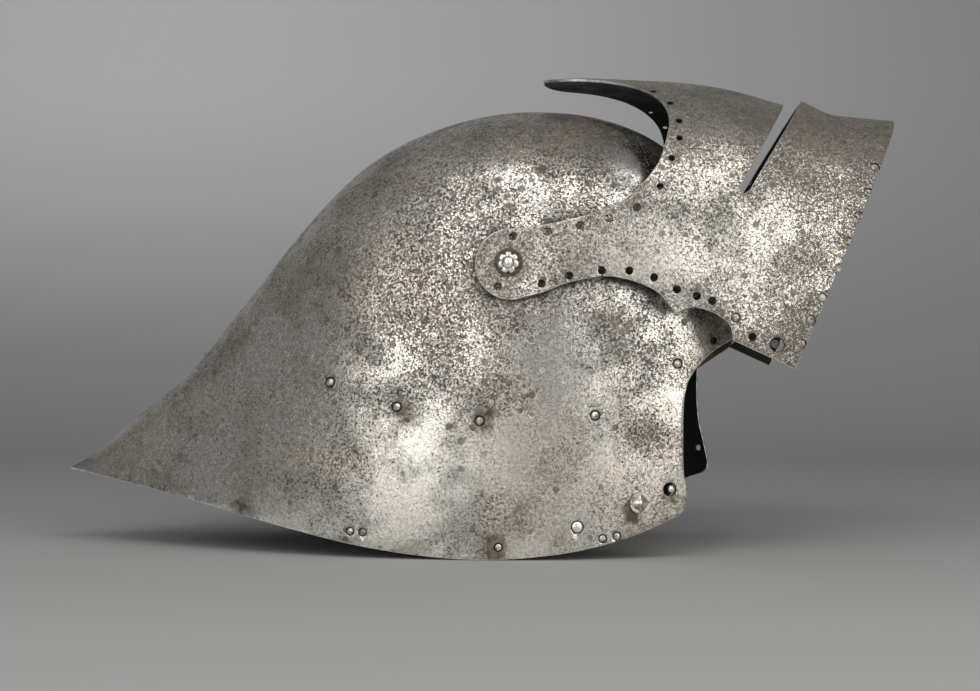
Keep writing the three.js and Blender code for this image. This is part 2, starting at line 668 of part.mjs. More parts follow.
// A quilted cap: it fills the room between the head and the steel, down to the lining band.
function makeLining() {
  const ellipsoid = (margin) => solid(new THREE.SphereGeometry(1, 24, 16)
    .rotateX(Math.PI / 2)
    .scale(headHalf.x + margin, headHalf.y + margin, headHalf.z + margin)
    .translate(...headCentre));
  const depth = skullPlate + bandThickness + liningTail + 3 * touchGap;
  const room = shellVolume(skullShell, -depth, 4, skullShell.rows.slice(4));
  const hem = [
    [175, 128], [140, 112], [119, 98], [73.4, 70], [9.8, 67], [-36.6, 74], [-75.3, 87], [-100, 92],
  ];
  const above = [[-100, 300], [175, 300]];
  let body = ellipsoid(liningFullness)
    .intersect(room)
    .intersect(sidePrism(outline([...hem, ...above]), -150, 150))
    .subtract(ellipsoid(0));
  const pivotRoom = skullPlate + burrThickness + pivotTailHeight + 3 * touchGap;
  for (const { sign } of sides) {
    const seat = pivotSeat(sign, skullPivotHalfWidth);
    body = body.subtract(drill(seat, burrRadius + touchGap, 12, 2 * pivotRoom));
  }
  return geometryOf(body);
}

add("lining_band", makeBand(), leather);
add("lining", makeLining(), linen);

// ---------------------------------------------------------------- rivets

const liningRivet = (gap = touchGap) => rivetGeometry({
  headRadius: liningRivetRadius,
  headHeight: 1.1,
  shank: liningRivetShank,
  grip: skullPlate + touchGap + bandThickness,
  tailRadius: 2.4,
  tailHeight: liningTail,
  gap,
});
const rimRivet = (radius) => rivetGeometry({
  headRadius: radius,
  headHeight: 0.5,
  shank: radius * 0.5,
  grip: skullPlate,
  tailRadius: radius * 0.9,
  tailHeight: 0.7,
});
const plugRivet = () => turned([
  [0, -visorPlate], [frontRivetRadius, -visorPlate], [frontRivetRadius, 0], [0, 0.25],
], 8);

for (const { name, sign } of sides) {
  liningRivetPlaces.forEach(([x, z], k) => {
    add(`${name}_lining_rivet_${k + 1}`, onSeat(liningRivet(), seatOn(skullShell, x, z, sign)), darkSteel);
  });
  rimRivetPlaces[name].forEach(([x, z], k) => {
    const seat = seatOn(skullShell, x, z, sign);
    add(`${name}_rim_rivet_${k + 1}`, onSeat(rimRivet(rimRivetRadius), seat), darkSteel);
  });
  const strap = seatOn(skullShell, ...rimStrapRivetPlace, sign);
  add(`${name}_strap_rivet`, onSeat(rimRivet(rimStrapRivetRadius), strap), brightSteel);
  frontRivetPlaces.forEach(([x, z], k) => {
    add(`${name}_visor_rivet_${k + 1}`, onSeat(plugRivet(), seatOn(visorShell, x, z, sign)), brightSteel);
  });
}
add("back_lining_rivet", onSeat(liningRivet(backRivetGap), backSeat), darkSteel);

export default helmet;
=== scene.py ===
"""A visored sallet: the look of every piece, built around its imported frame.

Drawing sizes are in millimetres, +X forward, +Y to the wearer's left, +Z up, and meshes are in metres.
"""

import logging
import math
from collections.abc import Callable, Sequence
from dataclasses import dataclass, field
from enum import Enum
from functools import cached_property, partial

import bmesh
import bpy
import numpy as np
from mathutils import Matrix, Vector, noise


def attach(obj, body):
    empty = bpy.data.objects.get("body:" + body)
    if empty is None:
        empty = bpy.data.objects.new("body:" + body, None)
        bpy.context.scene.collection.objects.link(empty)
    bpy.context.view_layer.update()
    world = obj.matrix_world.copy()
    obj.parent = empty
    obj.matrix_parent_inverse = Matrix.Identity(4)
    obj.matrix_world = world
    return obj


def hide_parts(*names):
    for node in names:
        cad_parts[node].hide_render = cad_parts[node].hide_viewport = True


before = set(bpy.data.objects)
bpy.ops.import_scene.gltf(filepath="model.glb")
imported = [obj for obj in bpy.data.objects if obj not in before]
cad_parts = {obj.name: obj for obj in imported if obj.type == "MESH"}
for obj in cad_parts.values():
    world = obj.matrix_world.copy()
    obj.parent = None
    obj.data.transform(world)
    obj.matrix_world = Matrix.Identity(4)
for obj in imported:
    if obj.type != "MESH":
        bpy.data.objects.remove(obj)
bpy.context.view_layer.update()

LOG = logging.getLogger("sallet")
MM = 0.001
SMOOTH = {"interpolation_type": "SMOOTHSTEP"}  # of a Map Range node
TOUCH_GAP = 0.3  # between pieces that lie on each other
SKULL_PLATE = 1.8
VISOR_PLATE = 1.5
BAND_LEATHER = 1.6
PIVOT_HOLE = 2.8
DRILL_DEPTH = 14  # through any plate
BLOCK_HALF = 150  # past either side of the helmet

Point2 = tuple[float, float]
Sockets = dict[str | int, object] | tuple[object, ...]


class Side(Enum):
    """A side of the helmet, with the sign of its Y."""

    RIGHT = -1
    LEFT = 1

    @property
    def label(self) -> str:
        """The side's name as the frame's nodes spell it."""
        return self.name.lower()


# ------------------------------------------------------------------ curves and small helpers


def smooth_line(points: Sequence[Point2], steps: int = 8) -> list[Point2]:
    """Runs a Catmull-Rom curve through points.

    Args:
        points: The places that the curve passes through.
        steps: How many short lines replace each span.

    Returns:
        The points of the curve, both ends included.
    """
    knots = np.array([points[0], *points, points[-1]], float)
    line = []
    for a, b, c, d in zip(knots, knots[1:], knots[2:], knots[3:], strict=False):
        for w in np.arange(steps) / steps:
            bend = (3 * b - a - 3 * c + d) * w**3 + (2 * a - 5 * b + 4 * c - d) * w**2
            line.append(tuple((2 * b + (c - a) * w + bend) / 2))
    return [*line, tuple(knots[-1])]


def smoothstep(value: np.ndarray, low: float, high: float) -> np.ndarray:
    """Rises smoothly from 0 at low to 1 at high."""
    share = np.clip((value - low) / (high - low), 0, 1)
    return share * share * (3 - 2 * share)


def linear(colour: str) -> tuple[float, float, float, float]:
    """Turns an sRGB colour into a linear one.

    Args:
        colour: The colour as a hash sign and six hex digits.

    Returns:
        Red, green, blue and alpha.
    """
    parts = [int(colour[k : k + 2], 16) / 255 for k in (1, 3, 5)]
    red, green, blue = (c / 12.92 if c <= 0.04045 else ((c + 0.055) / 1.055) ** 2.4 for c in parts)
    return red, green, blue, 1.0


def add_node(tree: bpy.types.NodeTree, kind: str, sockets: Sockets, **settings: object) -> bpy.types.Node:
    """Adds a node, sets it up and links it.

    Args:
        tree: The node tree it goes in.
        kind: The node's type name without the leading ShaderNode.
        sockets: Input name or index to a value, or to the output socket that feeds it. A tuple holds
            the first inputs in their order.
        **settings: The node's own settings.

    Returns:
        The node.
    """
    node = tree.nodes.new("ShaderNode" + kind)
    for key, value in settings.items():
        setattr(node, key, value)
    for key, value in sockets.items() if isinstance(sockets, dict) else enumerate(sockets):
        if isinstance(value, bpy.types.NodeSocket):
            tree.links.new(value, node.inputs[key])
        else:
            node.inputs[key].default_value = value
    return node


def per_metre(size: float) -> float:
    """The scale of a texture whose pattern repeats about every size millimetres."""
    return 1 / (size * MM)


def empty_material(name: str) -> bpy.types.Material:
    """Starts a material with no nodes in it.

    Args:
        name: Its name.

    Returns:
        The material.
    """
    material = bpy.data.materials.new(name)
    material.use_nodes = True
    material.node_tree.nodes.clear()
    return material


def clean_mesh(bm: bmesh.types.BMesh, name: str, gap: float = 0.01) -> bpy.types.Object:
    """Turns a bmesh into an object at the origin with closed poles and outward faces.

    Args:
        bm: The mesh, in millimetres. It is freed.
        name: The piece's name.
        gap: Vertices nearer than this, in millimetres, are joined.

    Returns:
        The object, linked to the scene.
    """
    bmesh.ops.remove_doubles(bm, verts=bm.verts, dist=gap)
    bmesh.ops.recalc_face_normals(bm, faces=bm.faces)
    return raw_mesh(bm, name)


def raw_mesh(bm: bmesh.types.BMesh, name: str) -> bpy.types.Object:
    """Turns a bmesh into an object at the origin.

    Args:
        bm: The mesh, in millimetres. It is freed.
        name: The piece's name.

    Returns:
        The object, linked to the scene.
    """
    bmesh.ops.scale(bm, vec=(MM, MM, MM), verts=bm.verts)
    mesh = bpy.data.meshes.new(name)
    bm.to_mesh(mesh)
    bm.free()
    piece = bpy.data.objects.new(name, mesh)
    bpy.context.scene.collection.objects.link(piece)
    return piece


def apply_modifiers(piece: bpy.types.Object) -> None:
    """Bakes a piece's modifiers into its mesh.

    Args:
        piece: The piece.
    """
    graph = bpy.context.evaluated_depsgraph_get()
    made = bpy.data.meshes.new_from_object(piece.evaluated_get(graph), depsgraph=graph)
    piece.modifiers.clear()
    old = piece.data
    piece.data = made
    made.name = piece.name
    bpy.data.meshes.remove(old)


def discard(*pieces: bpy.types.Object) -> None:
    """Removes helper objects and their meshes.

    Args:
        *pieces: The objects.
    """
    for piece in pieces:
        mesh = piece.data
        bpy.data.objects.remove(piece)
        bpy.data.meshes.remove(mesh)


def shade(piece: bpy.types.Object, crease: float = 38) -> None:
    """Shades a piece smooth, but keeps edges sharper than crease degrees."""
    piece.data.shade_smooth()
    piece.data.set_sharp_from_angle(angle=math.radians(crease))


def place_piece(
    piece: bpy.types.Object,
    body: str,
    slot: str,
    nodes: Sequence[str],
    *materials: bpy.types.Material,
) -> bpy.types.Object:
    """Gives a finished piece its materials and its body, and hides the frame's nodes that it stands for.

    Args:
        piece: The piece.
        body: The frame's body that it moves with.
        slot: The record's material slot. Not used.
        nodes: The frame's nodes that it replaces.
        *materials: Its materials, in the order of its material indices.

    Returns:
        The piece.
    """
    slots = piece.data.materials
    for material in materials[len(slots) :]:
        slots.append(material)
    for k, material in enumerate(materials):
        slots[k] = material
    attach(piece, body)
    if nodes:
        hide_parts(*nodes)
    LOG.info("%s: %d faces, rides on %s", piece.name, len(piece.data.polygons), body)
    return piece


# ------------------------------------------------------------------ finishes


@dataclass(frozen=True)
class PittedSteel:
    """Bare forged carbon steel, rusted for centuries and scoured back by hand.

    To the eye it is a satin grey metal with dark brown pits: dull where they are thick, bright on the worn
    ground between them, with fine upright lines where it was polished.
    """

    name: str
    ground: str = "#d8d3ca"  # worn steel
    shade: str = "#a4a39d"  # duller steel, slightly green
    cream: str = "#ddd2c0"  # warm film in the worn steel
    film: str = "#8f8a80"  # thin oxide between the pits
    pit: str = "#40372f"  # old oxide
    pale_pit: str = "#6b5f52"  # pits that are half scoured out
    stain_and_shade_tone: str = "#6f665b"  # under staining and painted shade
    arm_gap_shadow: str = "#221d19"  # painted shadow along the edge of the raised visor's arms
    pit_size: float = 0.72  # millimetres
    blotch_size: float = 2.0  # millimetres, clusters of pits
    round_gap: float = 6.5  # millimetres between the largest round pits
    worm: float = 0.2  # how much the pits run together into lines
    cover: float = 0.0  # added to how much of the surface is pitted
    patchiness: float = 1.5  # how much the pitting comes and goes
    roughness: float = 0.26
    polish_gap: float = 1.6  # millimetres between polishing lines, drawn coarse enough to show
    depth: float = 0.16  # millimetres, of the deepest pits

    def make(self) -> bpy.types.Material:
        """Builds the material.

        Returns:
            The material, which reads three point attributes: how corroded the steel is, how stained and painted
            with shade it is, and where a painted shadow lies along the visor's arms.
        """
        material = empty_material(self.name)
        add = partial(add_node, material.node_tree)
        place = add("TexCoord", {}).outputs["Object"]
        names = ("corrosion", "stain_and_shade", "arm_shadow_mask")
        attributes = [add("Attribute", {}, attribute_name=name).outputs["Fac"] for name in names]
        corrosion, stain_and_shade, arm_shadow_mask = attributes

        # Size in millimetres, detail, distortion and roughness of each noise.
        noises = {
            "broad": (55, 2, 0.0, 0.55),
            "patchy": (14, 4, 0.0, 0.55),
            "warm": (38, 2, 0.0, 0.55),
            "swell": (5, 2, 0.0, 0.55),
            "scoured": (3, 2, 0.0, 0.55),
            "damp": (2.2, 4, 0.0, 0.55),
            "ragged": (1.1, 3, 0.0, 0.55),
            "scale": (0.8, 3, 0.3, 0.65),
            "grain": (0.5, 3, 0.0, 0.7),
            "specks": (self.pit_size * 0.62, 4, self.worm, 0.6),
            "pits": (self.pit_size, 4, self.worm, 0.6),
            "blotches": (self.blotch_size, 4, 0.0, 0.6),
        }
        cloud = {}
        for name, (size, detail, distortion, roughness) in noises.items():
            look = {"Detail": detail, "Distortion": distortion, "Roughness": roughness}
            sockets = {"Vector": place, "Scale": per_metre(size * 2), **look}
            cloud[name] = add("TexNoise", sockets).outputs["Fac"]

        # Where the rust has bitten: clouds a few centimetres across, on top of what the mesh says.
        half = self.patchiness * -0.5
        uneven = add("Math", (cloud["patchy"], self.patchiness, half), operation="MULTIPLY_ADD").outputs[0]
        uneven = add("Math", (uneven, 0.35), operation="SUBTRACT").outputs[0]
        uneven = add("Math", (cloud["broad"], 0.7, uneven), operation="MULTIPLY_ADD").outputs[0]
        density = add("Math", (corrosion, self.cover), operation="ADD").outputs[0]
        density = add("Math", (density, uneven), operation="ADD").outputs[0]

        # Marks from noise, with their thresholds where the density is 0 and 1, and their strength.
        marks = {}
        kinds = (("specks", 0.605, 0.5, 0.75), ("pits", 0.665, 0.5, 1.0), ("blotches", 0.72, 0.6, 0.8))
        for name, sparse, dense, strength in kinds:
            low = add("MapRange", (density, 0, 1, sparse, dense), **SMOOTH).outputs[0]
            high = add("Math", (low, 0.055), operation="ADD").outputs[0]
            marks[name] = add("MapRange", (cloud[name], low, high, 0, strength), **SMOOTH).outputs[0]

        # Round pits: cells of which some hold a pit, with ragged edges.
        cells = add("TexVoronoi", {"Vector": place, "Scale": per_metre(self.round_gap)}).outputs
        chance = add("SeparateColor", (cells["Color"],)).outputs[0]
        reach = add("MapRange", (chance, 0.35, 1, 0, 0.36), **SMOOTH).outputs[0]
        inner = add("Math", (reach, 0.1), operation="SUBTRACT").outputs[0]
        away = add("Math", (cells["Distance"], 0.14), operation="SUBTRACT").outputs[0]
        away = add("Math", (cloud["ragged"], 0.28, away), operation="MULTIPLY_ADD").outputs[0]
        rounds = add("MapRange", (away, inner, reach, 0.85, 0), **SMOOTH).outputs[0]
        enough = add("MapRange", (density, 0.15, 0.5, 0, 1), **SMOOTH).outputs[0]
        marks["rounds"] = add("Math", (rounds, enough), operation="MULTIPLY").outputs[0]

        # Staining with painted shade, and all the marks together.
        # The staining attribute carries painted shade too, broken up by a fine cloud.
        damp = add("Math", (cloud["damp"], 0.9, stain_and_shade), operation="MULTIPLY_ADD").outputs[0]
        marked = add("MapRange", (damp, 0.75, 1.1, 0, 1), **SMOOTH).outputs[0]
        for mark in marks.values():
            marked = add("Math", (marked, mark), operation="MAXIMUM").outputs[0]

        # Polishing lines about thirty times as long as they are wide.
        stretched = add("Mapping", {"Vector": place, "Scale": (1, 1, 0.035)}).outputs[0]
        sockets = {"Vector": stretched, "Scale": per_metre(self.polish_gap), "Detail": 4, "Roughness": 0.75}
        streaks = add("TexNoise", sockets).outputs["Fac"]

        # Colour, in layers from the cleanest steel up to the darkest mark.
        duller = add("MapRange", (cloud["patchy"], 0.4, 0.66, 0, 1), **SMOOTH).outputs[0]
        warmer = add("MapRange", (cloud["warm"], 0.5, 0.68, 0, 0.7), **SMOOTH).outputs[0]
        thin = add("MapRange", (cloud["scale"], 0.38, 0.6, 0.8, 0), **SMOOTH).outputs[0]
        spread = add("MapRange", (density, -0.1, 0.7, 0.25, 1), **SMOOTH).outputs[0]
        filmed = add("Math", (thin, spread), operation="MULTIPLY").outputs[0]
        stain_and_shade_share = add("Math", (stain_and_shade, 0.55), operation="MULTIPLY").outputs[0]
        scoured = add("MapRange", (cloud["scoured"], 0.4, 0.62, 0, 1), **SMOOTH).outputs[0]
        oxide = {0: scoured, 6: linear(self.pit), 7: linear(self.pale_pit)}
        pit_colour = add("Mix", oxide, data_type="RGBA").outputs[2]
        covered = add("Math", (marked, 0.94), operation="MULTIPLY").outputs[0]
        layers = (
            (duller, linear(self.shade)),
            (warmer, linear(self.cream)),
            (filmed, linear(self.film)),
            (stain_and_shade_share, linear(self.stain_and_shade_tone)),
            (covered, pit_colour),
            # painted shadow along the edge of the raised visor's arms
            (arm_shadow_mask, linear(self.arm_gap_shadow)),
        )
        colour = linear(self.ground)
        for share, layer in layers:
            colour = add("Mix", {0: share, 6: colour, 7: layer}, data_type="RGBA").outputs[2]

        # Marks are rougher, sunk and less metallic than the steel between them.
        low, high = self.roughness - 0.05, self.roughness + 0.1
        rough = add("MapRange", (cloud["patchy"], 0.35, 0.7, low, high), **SMOOTH).outputs[0]
        rough = add("Math", (marked, 0.34, rough), operation="MULTIPLY_ADD").outputs[0]
        rough = add("Math", (rough, 0.05), operation="SUBTRACT").outputs[0]
        rough = add("Math", (streaks, 0.1, rough), operation="MULTIPLY_ADD").outputs[0]
        relief = add("Math", (cloud["grain"], cloud["scale"]), operation="ADD").outputs[0]
        relief = add("Math", (relief, 0.25), operation="MULTIPLY").outputs[0]
        for height, share in ((marked, -1.0), (streaks, 0.3), (cloud["swell"], 0.3)):
            relief = add("Math", (height, share, relief), operation="MULTIPLY_ADD").outputs[0]
        bump = add("Bump", {"Height": relief, "Distance": self.depth * MM, "Strength": 1.0}).outputs[0]
        metal = add("MapRange", (marked, 0, 1, 1, 0.45), **SMOOTH).outputs[0]
        sockets = {"Base Color": colour, "Metallic": metal, "Roughness": rough, "Normal": bump}
        shader = add("BsdfPrincipled", sockets).outputs[0]
        add("OutputMaterial", (shader,))
        return material


@dataclass(frozen=True)
class PlainSteel:
    """Forged steel with one even wear: polished by rubbing, dark from the forge, or bare at an edge.

    To the eye it is a metal whose brightness changes in soft clouds as wide as its mottle.
    """

    name: str
    light: str
    dark: str
    roughness: float
    metallic: float = 1.0
    mottle: float = 2.5  # millimetres
    relief: float = 0.2  # millimetres

    def make(self) -> bpy.types.Material:
        """Builds the material.

        Returns:
            The material.
        """
        material = empty_material(self.name)
        add = partial(add_node, material.node_tree)
        place = add("TexCoord", {}).outputs["Object"]
        sockets = {"Vector": place, "Scale": per_metre(self.mottle * 2), "Detail": 5, "Roughness": 0.6}
        cloudy = add("TexNoise", sockets).outputs["Fac"]
        share = {"Value": cloudy, "From Min": 0.38, "From Max": 0.64}
        mix = add("MapRange", share, **SMOOTH).outputs["Result"]
        colour_sockets = {0: mix, 6: linear(self.light), 7: linear(self.dark)}
        colour = add("Mix", colour_sockets, data_type="RGBA").outputs[2]
        spread = {"Value": mix, "To Min": self.roughness - 0.06, "To Max": self.roughness + 0.12}
        rough = add("MapRange", spread).outputs["Result"]
        bump_sockets = {"Height": cloudy, "Distance": self.relief * MM, "Strength": 1.0}
        bump = add("Bump", bump_sockets).outputs[0]
        shader_sockets = {"Base Color": colour, "Metallic": self.metallic, "Roughness": rough, "Normal": bump}
        shader = add("BsdfPrincipled", shader_sockets).outputs[0]
        add("OutputMaterial", (shader,))
        return material


@dataclass(frozen=True)
class TannedLeather:
    """Vegetable-tanned cowhide, aged dark, and painted darker still for the shade under the brow where the band
    shows.

    To the eye it is a nearly black brown with a fine pebbled grain, cloudy wear and a dull sheen.
    """

    name: str = "tanned_leather"
    light: str = "#402c20"
    dark: str = "#22170f"
    grain: float = 1.1  # millimetres
    clouds: float = 26  # millimetres
    relief: float = 0.2  # millimetres

    def make(self) -> bpy.types.Material:
        """Builds the material.

        Returns:
            The material.
        """
        material = empty_material(self.name)
        add = partial(add_node, material.node_tree)
        place = add("TexCoord", {}).outputs["Object"]
        cells = add("TexVoronoi", {"Vector": place, "Scale": per_metre(self.grain)}).outputs[0]
        cloud_sockets = {"Vector": place, "Scale": per_metre(self.clouds), "Detail": 6, "Roughness": 0.65}
        clouds = add("TexNoise", cloud_sockets).outputs["Fac"]
        share = {"Value": clouds, "From Min": 0.36, "From Max": 0.66}
        mix = add("MapRange", share).outputs["Result"]
        colour_sockets = {0: mix, 6: linear(self.light), 7: linear(self.dark)}
        colour = add("Mix", colour_sockets, data_type="RGBA").outputs[2]
        height = add("Math", (cells, 0.6, clouds), operation="MULTIPLY_ADD").outputs[0]
        bump_sockets = {"Height": height, "Distance": self.relief * MM, "Strength": 0.8}
        bump = add("Bump", bump_sockets).outputs[0]
        rough = add("MapRange", {"Value": cells, "To Min": 0.55, "To Max": 0.75}).outputs["Result"]
        sockets = {"Base Color": colour, "Roughness": rough, "Normal": bump, "Specular IOR Level": 0.4}
        shader = add("BsdfPrincipled", sockets).outputs[0]
        add("OutputMaterial", (shader,))
        return material


@dataclass(frozen=True)
class PlainLinen:
    """Unbleached linen tabby, darkened by wear.

    To the eye it is a matt straw colour with threads over and under, a soft fuzz and darker seams.
    """

    name: str = "quilted_linen"
    light: str = "#b3a687"
    dark: str = "#7d7058"
    thread: float = 1.6  # millimetres; real linen is 0.6, drawn coarser so that the weave shows
    clouds: float = 30  # millimetres
    relief: float = 0.25  # millimetres
    sheen: float = 0.25

    def make(self) -> bpy.types.Material:
        """Builds the material.

        Returns:
            The material, which reads the point attribute seam.
        """
        material = empty_material(self.name)
        add = partial(add_node, material.node_tree)
        place = add("TexCoord", {}).outputs["Object"]
        scale = per_metre(self.thread) / 2
        warp_sockets = {"Vector": place, "Scale": scale, "Distortion": 0.6, "Detail": 1}
        warp = add("TexWave", warp_sockets, bands_direction="DIAGONAL").outputs["Fac"]
        weft = add("TexWave", warp_sockets, bands_direction="Z").outputs["Fac"]
        weave = add("Math", (warp, weft), operation="MULTIPLY").outputs[0]
        cloud_sockets = {"Vector": place, "Scale": per_metre(self.clouds), "Detail": 5, "Roughness": 0.6}
        clouds = add("TexNoise", cloud_sockets).outputs["Fac"]
        seam = add("Attribute", {}, attribute_name="seam").outputs["Fac"]
        share = add("Math", (weave, -0.35, clouds), operation="MULTIPLY_ADD").outputs[0]
        # Darker along the quilted seams, in the clouds and between the threads.
        darkening = add("Math", (seam, 0.55, share), operation="MULTIPLY_ADD", use_clamp=True).outputs[0]
        colour_sockets = {0: darkening, 6: linear(self.light), 7: linear(self.dark)}
        colour = add("Mix", colour_sockets, data_type="RGBA").outputs[2]
        bump_sockets = {"Height": weave, "Distance": self.relief * MM, "Strength": 0.7}
        bump = add("Bump", bump_sockets).outputs[0]
        sockets = {"Base Color": colour, "Roughness": 0.92, "Normal": bump, "Sheen Weight": self.sheen}
        shader = add("BsdfPrincipled", sockets).outputs[0]
        add("OutputMaterial", (shader,))
        return material


@dataclass
class Finishes:
    """Every finish of the helmet, built once."""

    skull: bpy.types.Material = field(init=False)
    visor: bpy.types.Material = field(init=False)
    edge: bpy.types.Material = field(init=False)
    inside: bpy.types.Material = field(init=False)
    bright: bpy.types.Material = field(init=False)
    rivet: bpy.types.Material = field(init=False)
    plug: bpy.types.Material = field(init=False)
    dark: bpy.types.Material = field(init=False)
    leather: bpy.types.Material = field(init=False)
    linen: bpy.types.Material = field(init=False)

    def __post_init__(self) -> None:
        """Makes the materials."""
        # Worn satin steel, pitted in clouds.
        self.skull = PittedSteel("skull_pitted_steel").make()
        # A lighter plate: finer pits that run together like worm tracks, more evenly spread.
        self.visor = PittedSteel(
            "visor_pitted_steel",
            ground="#e0dad0",
            pit="#54483b",
            pit_size=0.66,
            blotch_size=1.7,
            worm=0.9,
            cover=0.2,
            patchiness=0.7,
            roughness=0.31,
        ).make()
        # Rims and flush rivets, worn pale by handling, and painted paler as a highlight along the rims.
        self.edge = PlainSteel("worn_edge_steel", "#e6e2da", "#a8a49b", 0.34).make()
        # The inner face, black with scale from the forge and painted near black for the shade inside the shell,
        # which hardly shines.
        self.inside = PlainSteel("forge_black_and_shade_steel", "#171614", "#0f0e0d", 0.62, metallic=0.3, mottle=6).make()
        # Pivots and stud, kept bright by what rubs them.
        self.bright = PlainSteel("rubbed_steel", "#eee9df", "#b9b4a9", 0.24).make()
        # Rivet heads, grey with brown specks.
        self.rivet = PlainSteel("rivet_steel", "#d2cdc3", "#7a736a", 0.36, mottle=1.5).make()
        # Rivets that fill old holes, filed flush and dull.
        self.plug = PlainSteel("plugged_hole_steel", "#a39d92", "#5c554c", 0.5, mottle=1.2).make()
        # Hidden steel under a brown oxide.
        self.dark = PlainSteel("brown_steel", "#554c43", "#2e2823", 0.5, metallic=0.7, mottle=1.8).make()
        # The band and the spacers.
        self.leather = TannedLeather().make()
        # The cap.
        self.linen = PlainLinen().make()


# ------------------------------------------------------------------ the two hammered shells


@dataclass(frozen=True)
class Seat:
    """A place on a shell: a point in millimetres and the outward direction."""

    point: Vector
    normal: Vector

    @property
    def matrix(self) -> Matrix:
        """Turns a piece drawn along +Z so that +Z points outward here."""
        return Matrix.Translation(self.point) @ self.normal.to_track_quat("Z", "X").to_matrix().to_4x4()


@dataclass(frozen=True)
class Pivot:
    """The hinge axis of the visor and the flats hammered around it."""

    x: float = 25.7
    z: float = 163.8
    flat: float = 12
    fade: float = 30
    skull_half_width: float = 95.6
    visor_half_width: float = 99.6

    def seat(self, side: Side, half_width: float) -> Seat:
        """The place where the axis leaves a shell of that half width."""
        return Seat(Vector((self.x, side.value * half_width, self.z)), Vector((0, side.value, 0)))


PIVOT = Pivot()


@dataclass(frozen=True)
class SlotLip:
    """The flange on the front lip of the sight slot."""

    height: float = 5
    reach: float = 26  # from the lip to where the steel lies flat again
    low: Point2 = (155.9, 205.4)
    top: Point2 = (187.6, 260)
    end_z: float = 202

    def rise(self, x: np.ndarray, z: np.ndarray) -> np.ndarray:
        """Finds how far the lip stands out.

        Args:
            x: Forward places of the side view.
            z: Their heights.

        Returns:
            The rise at each place, in millimetres.
        """
        (x0, z0), (x1, z1) = self.low, self.top
        ahead = ((x - x0) * (z1 - z0) - (z - z0) * (x1 - x0)) / math.hypot(x1 - x0, z1 - z0)
        fall = 1 - smoothstep(ahead, 2.5, self.reach)
        return self.height * smoothstep(z, self.end_z, self.top[1]) * smoothstep(ahead, -1, 2.5) * fall


